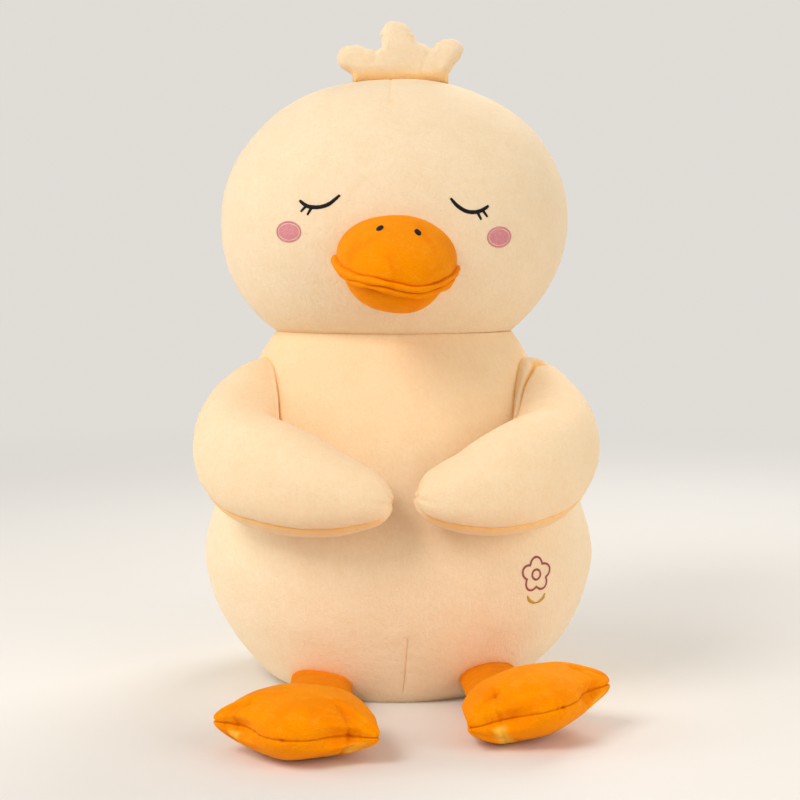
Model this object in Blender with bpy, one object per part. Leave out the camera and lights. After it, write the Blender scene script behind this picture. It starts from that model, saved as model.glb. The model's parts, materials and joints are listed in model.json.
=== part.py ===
"""A sitting plush duck, 0.65 m tall: stuffed covers for the body, head, arms, legs and feet, a padded bill with two
lips, a three-lobed crest, and embroidered eyes, cheeks, nostrils and a small flower.

Metres, +Z up. The duck faces -Y and sits on the plane Z = 0, with the origin in the middle of its seat. Left and right
are as seen by someone who faces the duck, so the left pieces lie at -X. Each cover is a thin shell round a core of
stuffing, and both are made by one function of the form with another inset.
"""

from math import cos, pi, radians, sin

import bmesh
import bpy
from mathutils import Matrix, Vector

# Clearance and cloth
GAP = 0.0003
CLOTH = 0.0022
OVERRUN = 0.02
SHARP_ANGLE = radians(45)
# A slope is read over this share of a half size.
SLOPE_SHARE = 0.01

# Body
NECK_HEIGHT = 0.346
BODY_WIDTH = 0.3865
BODY_DEPTH = 0.304
BODY_ROUNDNESS = 2.1
BODY_SHIFT = 0.0023
NECK_SHIFT = -0.003
SEAT_SHIFT = -0.0017
BODY_RINGS = 17
BODY_SEGMENTS = 24
# Height as a share of the neck's height, and width and depth as shares of the body's own.
BODY_OUTLINE_SHARES = (
    (0.0, 0.59, 0.78), (0.035, 0.705, 0.85), (0.087, 0.805, 0.90), (0.145, 0.882, 0.94), (0.23, 0.957, 0.98),
    (0.338, 1.0, 1.0), (0.42, 0.988, 0.988), (0.497, 0.948, 0.948), (0.61, 0.884, 0.884), (0.72, 0.822, 0.822),
    (0.84, 0.75, 0.75), (0.92, 0.692, 0.692), (0.965, 0.648, 0.648), (1.0, 0.60, 0.60), (1.022, 0.495, 0.495),
)

# Head
HEAD_WIDTH = 0.3425
HEAD_DEPTH = 0.284
HEAD_HEIGHT = 0.282
HEAD_RISE = 0.1066
HEAD_ROLL = radians(-1.3)
HEAD_ROUNDNESS = 2.1
HEAD_RINGS = 15
HEAD_SEGMENTS = 24

# Neck: the head's stuffing ends below in a plug that turns in a cup of the body's stuffing
PIVOT_RISE = 0.039
PLUG_CLEARANCE = 0.003
PLUG_RINGS = 9
PLUG_SEGMENTS = 24
NOD = radians(6)

# Arms
ARM_HEIGHT = 0.104
ARM_THICKNESS = 0.080
ARM_RINGS = 14
ARM_SEGMENTS = 14
ARM_ROUNDNESS = 2.2
ARM_MOUTH = 0.011
ARM_MOUTH_RING = 3
SHOULDER_FORWARD = 0.022
# The hinge line down the flank runs between the heights of these two rows of the path.
SHOULDER_ROWS = (0, 5)
# Along the arm: distance out as a share of half the body's width, distance forward as a share of half its depth,
# height as a share of the neck's height, and the section's height and thickness as shares of the arm's own.
ARM_PATH_SHARES = (
    (0.560, 0.180, 0.862, 0.385, 0.45), (0.670, 0.300, 0.845, 0.530, 0.70), (0.735, 0.430, 0.800, 0.640, 0.87),
    (0.772, 0.565, 0.742, 0.790, 0.975), (0.762, 0.710, 0.687, 0.905, 1.0), (0.688, 0.850, 0.651, 0.975, 1.0),
    (0.578, 0.960, 0.630, 0.970, 1.0), (0.450, 1.045, 0.610, 0.915, 0.975), (0.315, 1.100, 0.592, 0.790, 0.925),
    (0.184, 1.135, 0.582, 0.625, 0.825), (0.079, 1.150, 0.575, 0.430, 0.65), (0.010, 1.155, 0.572, 0.180, 0.30),
)
HAND_SHIFT = {"left": 0.0, "right": 0.0145}
HAND_LIFT = {"left": 0.0, "right": 0.0085}

# Legs and feet
LEG_WIDTH = 0.058
LEG_THICKNESS = 0.032
LEG_HEIGHT = {"left": 0.0168, "right": 0.024}
LEG_LENGTH = {"left": 0.111, "right": 0.071}
LEG_RINGS = 5
LEG_SEGMENTS = 14
LEG_MOUTH = 0.010
HIP_SPREAD = {"left": 0.071, "right": 0.086}
HIP_SWING = radians(12)
FOOT_LENGTH = 0.120
FOOT_WIDTH = 0.148
FOOT_THICKNESS = 0.055
FOOT_ROUNDNESS = 2.05
FOOT_LEVELS = 9
FOOT_POINTS = 30
FOOT_FLAT = 0.0005
HEEL_DEPTH = 0.012
ANKLE_TILT = radians(10)
LEG_YAW = {"left": radians(1), "right": radians(7)}
FOOT_YAW = {"left": radians(-13), "right": radians(27)}
FOOT_PITCH = {"left": radians(1), "right": radians(11)}
FOOT_ROLL = {"left": radians(-2), "right": radians(8)}
# Half of the sole's outline from the heel to the middle toe, as shares of the length and the width.
FOOT_OUTLINE_SHARES = (
    (-0.5, 0.0), (-0.45, 0.16), (-0.28, 0.28), (-0.06, 0.38), (0.09, 0.45), (0.17, 0.50), (0.21, 0.42),
    (0.18, 0.32), (0.18, 0.26), (0.29, 0.21), (0.43, 0.13), (0.5, 0.0),
)

# Bill
BILL_WIDTH = 0.112
BILL_LENGTH = 0.076
BILL_RISE = 0.0475
BILL_DROP = 0.040
BILL_ROUNDNESS = 2.15
BILL_CROWN = 1.95
LIP_HEIGHT = 0.0058
LIP_PROUD = 0.0025
LOWER_LIP_INSET = 0.001
LOWER_BILL_SHARE = 0.84
# Through a lip from the line between the lips: height, and inset of the edge, as shares of the lip's height.
LIP_LEVEL_SHARES = ((0.0, 0.28), (0.22, 0.06), (0.5, 0.0), (0.78, 0.06), (1.0, 0.28))
BILL_SINK = 0.016
BILL_PITCH = radians(14.5)
BILL_ROLL = radians(6.5)
BILL_HEIGHT_SHARE = -0.29
BILL_SHIFT = 0.0015
BILL_LEVELS = 7
BILL_SEGMENTS = 24
BILL_CLOTH = 0.0018

# Crest
CREST_WIDTH = 0.1237
CREST_HEIGHT = 0.0545
CREST_THICKNESS = 0.028
CREST_SINK = 0.006
CREST_FORWARD = 0.018
CREST_SHIFT = 0.0095
CREST_POINTS = 40
CREST_MIDDLE_SHARE = 0.4
CREST_FOOT_SHARE = 0.02
CREST_FLOP = radians(15)
CREST_LEVEL_SHARES = ((-1.0, 0.70), (-0.72, 0.90), (0.0, 1.0), (0.72, 0.90), (1.0, 0.70))
# The outline as shares of the crest's width and height, from the base on the right round the lobes.
CREST_OUTLINE_SHARES = (
    (0.378, 0.0), (0.40, 0.15), (0.47, 0.33), (0.50, 0.50), (0.46, 0.63), (0.39, 0.685), (0.30, 0.645),
    (0.235, 0.57), (0.145, 0.62), (0.115, 0.76), (0.04, 0.92), (-0.055, 1.0), (-0.12, 0.95), (-0.155, 0.80),
    (-0.165, 0.55), (-0.25, 0.51), (-0.35, 0.585), (-0.45, 0.54), (-0.505, 0.38), (-0.48, 0.18), (-0.40, 0.07),
    (-0.375, 0.0),
)

# Tail
TAIL_WIDTH = 0.058
TAIL_LENGTH = 0.046
TAIL_SINK = 0.02
TAIL_RISE = radians(28)
TAIL_HEIGHT_SHARE = 0.30
TAIL_SEGMENTS = 14
TAIL_FLAT_SHARE = 0.8
TAIL_OUTLINE_SHARES = ((0.0, 1.0), (0.30, 0.97), (0.55, 0.82), (0.78, 0.56), (0.93, 0.30))

# Embroidery
THREAD_RADIUS = 0.0014
THREAD_PROUD = 0.0004
THREAD_SIDES = 6
EYE_POINTS = 9
CHEEK_WIDTH = 0.0235
CHEEK_HEIGHT = 0.0195
PATCH_PROUD = 0.0010
PATCH_DEPTH = 0.0045
PATCH_POINTS = 18
PATCH_FOOT_SHARE = 0.9
PATCH_TOP_SHARE = 0.86
LASH_POINTS = 3
LASH_END_SHARE = 0.5
NOSTRIL_LENGTH = 0.0064
NOSTRIL_WIDTH = 0.0042
# Places on the head's face as shares of half its width and half its height, from its centre.
EYE_ARC_SHARES = {
    "left": ((-0.495, 0.13), (-0.466, 0.10), (-0.436, 0.086), (-0.384, 0.084), (-0.334, 0.104), (-0.281, 0.155)),
    "right": ((0.305, 0.118), (0.34, 0.07), (0.384, 0.037), (0.426, 0.029), (0.467, 0.039), (0.506, 0.068)),
}
LASH_SHARES = {
    "left": (((-0.46, 0.094), (-0.49, 0.059)), ((-0.433, 0.08), (-0.455, 0.037))),
    "right": (((0.445, 0.031), (0.466, -0.018)), ((0.474, 0.042), (0.499, -0.001))),
}
CHEEK_PLACE_SHARES = {"left": (-0.561, -0.067), "right": (0.567, -0.133)}
# Places on the upper bill: share of half its width, and angle up from the lips.
NOSTRIL_SIDE_SHARE = 0.30
NOSTRIL_LIFT = radians(58)
NOSTRIL_TURN = {"left": radians(20), "right": radians(-30)}

# Flower on the belly
FLOWER_RADIUS = 0.0165
FLOWER_CENTRE_RADIUS = 0.0048
FLOWER_PETALS = 5
FLOWER_PETAL_SHARE = 0.30
FLOWER_POINTS = 30
FLOWER_CENTRE_POINTS = 14
FLOWER_THREAD = 0.0011
FLOWER_SIDE_SHARE = 0.665
FLOWER_HEIGHT_SHARE = 0.352
SPRIG_HEIGHT = 0.008
SPRIG_LEAF = 0.0105
SPRIG_DROP = 0.0195
SPRIG_POINTS = 11
# Where each leaf bends, as shares of its reach to the side and of its height.
SPRIG_BEND_SHARES = (0.7, 0.35)

# Care label
LABEL_WIDTH = 0.016
LABEL_LENGTH = 0.026
LABEL_THICKNESS = 0.0012
LABEL_SINK = 0.006
LABEL_SIDE_SHARE = -0.42
LABEL_HEIGHT_SHARE = 0.24
LABEL_DROOP = radians(22)
LABEL_RINGS = 5
LABEL_SEGMENTS = 8
LABEL_SQUARENESS = 8

SIDES = {"left": -1, "right": 1}
UP = Vector((0, 0, 1))
ACROSS = Vector((1, 0, 0))


def material(name, colour, roughness, sheen):
    made = bpy.data.materials.new(name)
    made.use_nodes = True
    shader = made.node_tree.nodes["Principled BSDF"]
    shader.inputs["Base Color"].default_value = (*colour, 1.0)
    shader.inputs["Roughness"].default_value = roughness
    shader.inputs["Metallic"].default_value = 0.0
    shader.inputs["Sheen Weight"].default_value = sheen
    made.diffuse_color = (*colour, 1.0)
    return made


def signed_power(value, exponent):
    return abs(value) ** exponent * (1 if value >= 0 else -1)


def smooth_rows(rows, count, closed=False):
    """Rows of numbers read from a smooth curve through the given rows."""
    found = []
    spans = len(rows) if closed else len(rows) - 1
    for step in range(count):
        place = step * spans / (count if closed else count - 1)
        first = min(int(place), spans - 1)
        share = place - first
        picked = [first - 1, first, first + 1, first + 2]
        if closed:
            picked = [i % len(rows) for i in picked]
        else:
            picked = [min(max(i, 0), len(rows) - 1) for i in picked]
        before, here, there, after = (rows[i] for i in picked)
        row = []
        for p, q, r, s in zip(before, here, there, after):
            slope = (r - p) / 2
            next_slope = (s - q) / 2
            bend = 3 * (r - q) - 2 * slope - next_slope
            rest = 2 * (q - r) + slope + next_slope
            row.append(q + share * (slope + share * (bend + share * rest)))
        found.append(row)
    return found


def section(centre, first, second, roundness, segments):
    """A closed ring of points round a centre, with the half sizes given as two vectors."""
    points = []
    for i in range(segments):
        angle = 2 * pi * i / segments
        along = signed_power(cos(angle), 2 / roundness)
        across = signed_power(sin(angle), 2 / roundness)
        points.append(centre + first * along + second * across)
    return points


def skin(name, rings, poles=(None, None), place=None, loop=False):
    """A closed solid through rings of points, each end flat or drawn to a pole. A loop has no ends."""
    form = bmesh.new()
    rows = [[form.verts.new(point) for point in ring] for ring in rings]
    pairs = list(zip(rows, rows[1:])) + ([(rows[-1], rows[0])] if loop else [])
    for low, high in pairs:
        for i in range(len(low)):
            j = (i + 1) % len(low)
            form.faces.new((low[i], low[j], high[j], high[i]))
    for row, pole in () if loop else zip((rows[0], rows[-1]), poles):
        if pole is None:
            form.faces.new(row)
            continue
        tip = form.verts.new(pole)
        for i in range(len(row)):
            form.faces.new((row[i], row[(i + 1) % len(row)], tip))
    bmesh.ops.recalc_face_normals(form, faces=form.faces)
    if place is not None:
        form.transform(place)
    mesh = bpy.data.meshes.new(name)
    form.to_mesh(mesh)
    form.free()
    mesh.shade_smooth()
    mesh.set_sharp_from_angle(angle=SHARP_ANGLE)
    made = bpy.data.objects.new(name, mesh)
    bpy.context.scene.collection.objects.link(made)
    return made


def helper(made):
    """A cutter or a guide, which isn't a piece of the duck."""
    made.hide_render = True
    made.display_type = "WIRE"
    return made


def boolean(made, other, operation):
    change = made.modifiers.new(f"{operation.lower()}_{other.name}"[:60], "BOOLEAN")
    change.operation = operation
    change.solver = "EXACT"
    change.object = other


def cut(made, *others):
    for other in others:
        boolean(made, other, "DIFFERENCE")


def join(made, *others):
    for other in others:
        boolean(made, helper(other), "UNION")


def turned(made, pivot, axis, angle, name):
    """A copy of a cutter, turned about an axis through a pivot."""
    copy = made.copy()
    copy.name = name
    turn = Matrix.Translation(pivot) @ Matrix.Rotation(angle, 4, axis) @ Matrix.Translation(-pivot)
    copy.matrix_world = turn @ made.matrix_world
    bpy.context.scene.collection.objects.link(copy)
    return helper(copy)


def joint_empty(name, place, axis, parent=None):
    """An empty whose Z axis lies on a joint's axis."""
    made = bpy.data.objects.new(name, None)
    made.empty_display_size = OVERRUN
    turn = UP.rotation_difference(Vector(axis).normalized()).to_matrix().to_4x4()
    bpy.context.scene.collection.objects.link(made)
    carried(made, parent, Matrix.Translation(place) @ turn)
    return made


def carried(made, parent, world=None):
    world = made.matrix_world.copy() if world is None else world
    if parent is not None:
        bpy.context.view_layer.update()
        made.parent = parent
        made.matrix_parent_inverse = parent.matrix_world.inverted()
    made.matrix_basis = world


def finish(made, coat, parent):
    made.data.materials.append(coat)
    carried(made, parent)
    return made


def slab(name, top):
    """A flat block that removes what lies below a height."""
    form = bmesh.new()
    reach = BODY_WIDTH + HEAD_WIDTH
    bmesh.ops.create_cube(form, size=1)
    bmesh.ops.scale(form, vec=(reach, reach, NECK_HEIGHT), verts=form.verts)
    bmesh.ops.translate(form, vec=(0, 0, top - NECK_HEIGHT / 2), verts=form.verts)
    mesh = bpy.data.meshes.new(name)
    form.to_mesh(mesh)
    form.free()
    made = bpy.data.objects.new(name, mesh)
    bpy.context.scene.collection.objects.link(made)
    return helper(made)


def rod(name, start, end, radius, segments):
    """A plain round bar between two points."""
    along = (end - start).normalized()
    side = along.orthogonal().normalized()
    other = along.cross(side)
    rings = [section(point, side * radius, other * radius, 2, segments) for point in (start, end)]
    return skin(name, rings)


# Body


def widest_share():
    """The height of the belly's widest ring, as a share of the neck's height."""
    return max(BODY_OUTLINE_SHARES, key=lambda row: row[1])[0]


def body_middle(height):
    """The body's middle leans a little, from the belly up to the neck and down to the seat."""
    widest = widest_share() * NECK_HEIGHT
    if height < widest:
        return BODY_SHIFT + (SEAT_SHIFT - BODY_SHIFT) * (1 - height / widest) ** 3
    return BODY_SHIFT + (NECK_SHIFT - BODY_SHIFT) * (height - widest) / (NECK_HEIGHT - widest)


def body_rows(inset, count):
    """Height, half width and half depth of each ring, drawn in by the inset."""
    rows = []
    for height_share, width_share, depth_share in smooth_rows(BODY_OUTLINE_SHARES, count):
        height = height_share * NECK_HEIGHT
        raised = inset * max(0.0, 1 - height_share / widest_share())
        rows.append((height + raised, width_share * BODY_WIDTH / 2 - inset, depth_share * BODY_DEPTH / 2 - inset))
    return rows


def body_form(name, inset, every=1, top=None):
    """The body's form, as far up as its top if one is given."""
    rows = body_rows(inset, BODY_RINGS)[::every]
    if top is not None:
        rows = [row for row in rows if row[0] < top] + [(top, *(half - inset for half in body_halves(top)))]
    rings = []
    for height, half_width, half_depth in rows:
        centre = Vector((body_middle(height), 0, height))
        ring = section(centre, ACROSS * half_width, Vector((0, half_depth, 0)), BODY_ROUNDNESS, BODY_SEGMENTS)
        rings.append(ring[::every])
    return skin(name, rings)


def body_halves(height):
    """Half the body's width and half its depth at a height, read between the rings."""
    rows = body_rows(0, BODY_RINGS)
    for (low, *halves), (high, *next_halves) in zip(rows, rows[1:]):
        if low <= height <= high:
            share = (height - low) / (high - low)
            return [half + (other - half) * share for half, other in zip(halves, next_halves)]
    return rows[-1][1:]


def body_surface(side, height, back=False):
    """The point of the body's front or back that is this far to the side of its middle."""
    half_width, half_depth = body_halves(height)
    depth = half_depth * max(0.0, 1 - abs(side / half_width) ** BODY_ROUNDNESS) ** (1 / BODY_ROUNDNESS)
    return Vector((body_middle(height) + side, depth if back else -depth, height))


def body_normal(side, height, back=False):
    step = CLOTH
    here = body_surface(side, height, back)
    across = body_surface(side + step, height, back) - here
    upward = body_surface(side, height + step, back) - here
    normal = across.cross(upward).normalized()
    return -normal if back else normal


# Head


def head_place():
    centre = Vector((NECK_SHIFT, 0, NECK_HEIGHT + HEAD_RISE))
    return Matrix.Translation(centre) @ Matrix.Rotation(HEAD_ROLL, 4, "Y")


def head_form(name, inset, every=1):
    """The head's ball, built from its lower pole to its upper one."""
    half = Vector((HEAD_WIDTH / 2 - inset, HEAD_DEPTH / 2 - inset, HEAD_HEIGHT / 2 - inset))
    rings = []
    for step in range(1, HEAD_RINGS + 1)[every - 1::every]:
        angle = -pi / 2 + pi * step / (HEAD_RINGS + 1)
        share = signed_power(cos(angle), 2 / HEAD_ROUNDNESS)
        centre = Vector((0, 0, half.z * signed_power(sin(angle), 2 / HEAD_ROUNDNESS)))
        ring = section(
            centre, ACROSS * half.x * share, Vector((0, half.y * share, 0)), HEAD_ROUNDNESS, HEAD_SEGMENTS
        )
        rings.append(ring[::every])
    poles = (Vector((0, 0, -half.z)), Vector((0, 0, half.z)))
    return skin(name, rings, poles, head_place())


def head_surface(side_share, height_share):
    """A point on the front of the head's ball, in the head's own frame."""
    round_share = 1 / HEAD_ROUNDNESS
    level = max(0.0, 1 - abs(height_share) ** HEAD_ROUNDNESS) ** round_share
    depth = max(0.0, 1 - abs(side_share / level) ** HEAD_ROUNDNESS) ** round_share
    return Vector((
        side_share * HEAD_WIDTH / 2, -HEAD_DEPTH / 2 * level * depth, height_share * HEAD_HEIGHT / 2
    ))


def head_normal(side_share, height_share):
    here = head_surface(side_share, height_share)
    across = head_surface(side_share + SLOPE_SHARE, height_share) - here
    upward = head_surface(side_share, height_share + SLOPE_SHARE) - here
    return across.cross(upward).normalized()


def neck_half(size):
    """Half the neck's opening, for the head's width or its depth."""
    level = 1 - (HEAD_RISE / (HEAD_HEIGHT / 2 - CLOTH)) ** HEAD_ROUNDNESS
    return (size / 2 - CLOTH) * level ** (1 / HEAD_ROUNDNESS) - PLUG_CLEARANCE


def plug_radius():
    return Vector((neck_half(HEAD_DEPTH), PIVOT_RISE)).length


def plug_half_width():
    """The plug's half width on its axis, from the width that fits the neck's opening below it."""
    fall_share = PIVOT_RISE / plug_radius()
    return neck_half(HEAD_WIDTH) / (1 - fall_share ** 2) ** 0.5


def cup_clearance():
    """The cup's flats lie outside the circle that the plug's corners turn on."""
    return GAP + plug_radius() * (1 / cos(pi / PLUG_SEGMENTS) - 1)


def plug_form(name, grow):
    """The neck's plug, round about the axis that the head nods on."""
    pivot = neck_pivot()
    half_width = plug_half_width() + grow
    rings = []
    for step in range(1, PLUG_RINGS + 1):
        angle = -pi / 2 + pi * step / (PLUG_RINGS + 1)
        radius = (plug_radius() + grow) * cos(angle)
        centre = pivot + ACROSS * half_width * sin(angle)
        rings.append(section(centre, Vector((0, radius, 0)), UP * radius, 2, PLUG_SEGMENTS))
    ends = [pivot + ACROSS * half_width * end for end in (-1, 1)]
    return skin(name, rings, ends)


def stuffing_top():
    """The height that the head's rim never reaches as it nods."""
    return NECK_HEIGHT - (neck_half(HEAD_DEPTH) + PLUG_CLEARANCE + CLOTH) * sin(NOD) - CLOTH


def neck_pivot():
    return Vector((NECK_SHIFT, 0, NECK_HEIGHT + PIVOT_RISE))


# Limbs


def tube_form(name, rows, roundness, segments, every=1):
    """A limb through rows of (centre, first half size, second half size), drawn to a point at its far end."""
    rings = [section(centre, first, second, roundness, segments)[::every] for centre, first, second in rows]
    return skin(name, rings, (None, rows[-1][0]))


def arm_rows(side, inset):
    """The arm's sections: its path goes out from the shoulder, round the elbow and in across the belly."""
    sign = SIDES[side]
    stations = []
    rows = smooth_rows(ARM_PATH_SHARES, ARM_RINGS)
    for step, (out, forward, up, height_share, thickness_share) in enumerate(rows):
        reach = max(0.0, 2 * step / (len(rows) - 1) - 1)
        centre = Vector((
            sign * (out * BODY_WIDTH / 2 + HAND_SHIFT[side] * reach),
            -forward * BODY_DEPTH / 2,
            up * NECK_HEIGHT + HAND_LIFT[side] * reach ** 2,
        ))
        stations.append((centre, height_share * ARM_HEIGHT / 2, thickness_share * ARM_THICKNESS / 2))
    found = []
    for step, (centre, half_height, half_thickness) in enumerate(stations):
        before = stations[max(step - 1, 0)][0]
        after = stations[min(step + 1, len(stations) - 1)][0]
        along = (after - before).normalized()
        outward = Vector((centre.x, centre.y, 0))
        outward = (outward - along * outward.dot(along)).normalized()
        upward = along.cross(outward)
        if step == len(stations) - 1:
            centre = centre - along * inset
        found.append((
            centre, upward * max(half_height - inset, CLOTH), outward * max(half_thickness - inset, CLOTH)
        ))
    return found


def shoulder_axis(side):
    """The line down the body's flank that the arm opens on: a point, and a direction that turns the hand out."""
    sign = SIDES[side]
    high, low = (ARM_PATH_SHARES[i][2] * NECK_HEIGHT for i in SHOULDER_ROWS)
    points = []
    for height in (high, low):
        half_width, _ = body_halves(height)
        points.append(Vector((body_middle(height) + sign * half_width, -SHOULDER_FORWARD, height)))
    return points[0], (points[0] - points[1]).normalized() * sign


def hip_place(side):
    """The point where the leg's middle line meets the body."""
    height = LEG_HEIGHT[side]
    return body_surface(SIDES[side] * HIP_SPREAD[side] - body_middle(height), height)


def hip_blocks(side):
    """Two flat blocks that touch the body's front at the hip, as it stands to the leg at each end of its swing."""
    hip = hip_place(side)
    facing = body_normal(hip.x - body_middle(hip.z), hip.z)
    made = []
    for name, sign in SIDES.items():
        block = slab(f"hip_{side}_block_{name}", GAP)
        swing = Matrix.Rotation(sign * HIP_SWING, 4, "Z")
        block.matrix_world = Matrix.Translation(hip) @ swing @ UP.rotation_difference(facing).to_matrix().to_4x4()
        made.append(block)
    return made


def leg_direction(side):
    return Vector((sin(LEG_YAW[side]), -cos(LEG_YAW[side]), 0))


def leg_end(side):
    """The end of the leg's middle line, inside the heel."""
    return hip_place(side) + leg_direction(side) * LEG_LENGTH[side]


def ankle_place(side):
    """The heel's middle, under the leg's end, at the height that rests the foot on the floor."""
    ankle = leg_end(side)
    rings, ends = foot_rings(0)
    turn = foot_turn(side)
    ankle.z = -FOOT_FLAT - min((turn @ point).z for ring in (*rings, ends) for point in ring)
    return ankle


def leg_form(name, side, inset, longer=0.0):
    along = leg_direction(side)
    start = hip_place(side) - along * (OVERRUN + longer)
    end = leg_end(side) + along * longer
    half_width = along.cross(UP).normalized() * (LEG_WIDTH / 2 - inset)
    half_thickness = UP * (LEG_THICKNESS / 2 - inset)
    rings = []
    for step in range(LEG_RINGS):
        centre = start.lerp(end, step / (LEG_RINGS - 1))
        rings.append(section(centre, half_width, half_thickness, 2, LEG_SEGMENTS))
    return skin(name, rings)


def foot_outline(inset):
    """The sole's outline from the heel, with three toes, drawn in by the inset."""
    half = [(forward, side) for forward, side in FOOT_OUTLINE_SHARES]
    whole = half + [(forward, -side) for forward, side in reversed(half[1:-1])]
    length_share = 1 - 2 * inset / FOOT_LENGTH
    width_share = 1 - 2 * inset / FOOT_WIDTH
    rows = smooth_rows(whole, FOOT_POINTS, closed=True)
    return [
        Vector((side * FOOT_WIDTH * width_share, -forward * FOOT_LENGTH * length_share, 0))
        for forward, side in rows
    ]


def foot_turn(side):
    """The foot's tilt about the ankle, which lies inside its heel; the toes point along its own -Y."""
    heel_middle = Vector((0, FOOT_LENGTH / 2 - HEEL_DEPTH, 0))
    return (
        Matrix.Rotation(FOOT_YAW[side], 4, "Z")
        @ Matrix.Rotation(-FOOT_PITCH[side], 4, "X")
        @ Matrix.Rotation(-FOOT_ROLL[side], 4, "Y")
        @ Matrix.Translation(-heel_middle)
    )


def foot_place(side):
    return Matrix.Translation(ankle_place(side)) @ foot_turn(side)


def foot_rings(inset):
    """A cushion that is widest at its seam, halfway up: its rings, and its lowest and highest points."""
    outline = foot_outline(inset)
    half = FOOT_THICKNESS / 2 - inset
    rings = []
    for step in range(1, FOOT_LEVELS):
        angle = -pi / 2 + pi * step / FOOT_LEVELS
        share = signed_power(cos(angle), 2 / FOOT_ROUNDNESS)
        height = half * signed_power(sin(angle), 2 / FOOT_ROUNDNESS)
        rings.append([point * share + UP * height for point in outline])
    return rings, (-UP * half, UP * half)


def foot_form(name, side, inset):
    return skin(name, *foot_rings(inset), foot_place(side))


# Bill


def bill_place():
    """The bill's frame: its origin lies in the head's face, and its flat plane is the line between the lips."""
    here = head_surface(BILL_SHIFT / (HEAD_WIDTH / 2), BILL_HEIGHT_SHARE)
    turn = Matrix.Rotation(BILL_ROLL, 4, "Y") @ Matrix.Rotation(BILL_PITCH, 4, "X")
    return head_place() @ Matrix.Translation(here + Vector((0, BILL_SINK, 0))) @ turn


def bill_ring(share, height, width, length, grow):
    half_width = width / 2 * share + grow
    reach = (length + BILL_SINK) * share + grow
    return section(UP * height, ACROSS * half_width, Vector((0, reach, 0)), BILL_ROUNDNESS, BILL_SEGMENTS)


def bill_dome(name, side, width, length, rise, inset, deeper=0):
    """The rounded half of the bill above the lips, where side is 1, or below them, where it is -1."""
    base = LIP_HEIGHT + GAP * 2
    rings = [bill_ring(1, side * (base - deeper), width, length, -inset)] if deeper else []
    for step in range(BILL_LEVELS):
        angle = pi / 2 * step / BILL_LEVELS
        share = signed_power(cos(angle), 2 / BILL_CROWN)
        height = base + (rise - base - inset) * signed_power(sin(angle), 2 / BILL_CROWN)
        rings.append(bill_ring(share, side * height, width, length, -inset * share))
    return skin(name, rings, (None, UP * side * (rise - inset)), bill_place())


def bill_lip(name, side, width, length, grow):
    """The flat pad inside the bill, whose round edge shows as a lip."""
    rings = []
    for level_share, inset_share in LIP_LEVEL_SHARES:
        height = side * (GAP / 2 + level_share * LIP_HEIGHT)
        rings.append(bill_ring(1, height, width, length, grow - inset_share * LIP_HEIGHT))
    return skin(name, rings, (None, None), bill_place())


def bill_surface(side_share, lift):
    """A point on the upper bill, in the bill's own frame."""
    base = LIP_HEIGHT + GAP * 2
    level = cos(lift) ** (2 / BILL_CROWN)
    depth = max(0.0, 1 - abs(side_share / level) ** BILL_ROUNDNESS) ** (1 / BILL_ROUNDNESS)
    rise = base + (BILL_RISE - base) * sin(lift) ** (2 / BILL_CROWN)
    return Vector((side_share * BILL_WIDTH / 2, -(BILL_LENGTH + BILL_SINK) * level * depth, rise))


def bill_normal(side_share, lift):
    here = bill_surface(side_share, lift)
    across = bill_surface(side_share + SLOPE_SHARE, lift) - here
    upward = bill_surface(side_share, lift + SLOPE_SHARE) - here
    return across.cross(upward).normalized()


# Small pieces


def thread(name, points, outward, radius, place=None, loop=False):
    """A satin line along points on a surface, with the outward direction at each."""
    rings = []
    last = len(points) - 1
    for step, (point, out) in enumerate(zip(points, outward)):
        before = points[step - 1 if loop else max(step - 1, 0)]
        after = points[(step + 1) % len(points) if loop else min(step + 1, last)]
        along = (after - before).normalized()
        side = along.cross(out).normalized()
        full = radius if loop or 0 < step < last else radius * LASH_END_SHARE
        centre = point + out * (THREAD_PROUD - radius / 2)
        rings.append(section(centre, side * full, out * radius, 2, THREAD_SIDES))
    return skin(name, rings, place=place, loop=loop)


def patch(name, centre, out, first, second, place=None):
    """A satin-stitched disc: it stands a little proud of its surface, and its depth is cut away by what it is on."""
    rings = []
    levels = ((-PATCH_DEPTH, PATCH_FOOT_SHARE), (0, 1), (PATCH_PROUD / 2, 1), (PATCH_PROUD, PATCH_TOP_SHARE))
    for height, share in levels:
        rings.append(section(centre + out * height, first * share, second * share, 2, PATCH_POINTS))
    return skin(name, rings, place=place)


def face_thread(name, shares, count):
    rows = smooth_rows(shares, count)
    points = [head_surface(*row) for row in rows]
    outward = [head_normal(*row) for row in rows]
    return thread(name, points, outward, THREAD_RADIUS, head_place())


def belly_frame():
    """The flower's place on the belly: middle, sideways and upward directions, and the outward one."""
    side = FLOWER_SIDE_SHARE * BODY_WIDTH / 2
    height = FLOWER_HEIGHT_SHARE * NECK_HEIGHT
    out = body_normal(side, height)
    across = UP.cross(out).normalized()
    return side, height, across, out


def belly_points(flat):
    """Flat points, sideways and up from the flower's middle, laid on the belly."""
    side, height, across, _ = belly_frame()
    points = [body_surface(side + across_by * across.x, height + up_by) for across_by, up_by in flat]
    outward = [body_normal(side + across_by * across.x, height + up_by) for across_by, up_by in flat]
    return points, outward


def ring_of(radius, count, lobes=0, lobe_share=0.0):
    flat = []
    for step in range(count):
        angle = 2 * pi * step / count
        petal = abs(cos(lobes * angle / 2)) if lobes else 1.0
        reach = radius * (1 - lobe_share * (1 - petal))
        flat.append((reach * sin(angle), reach * cos(angle)))
    return flat


# Building


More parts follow.
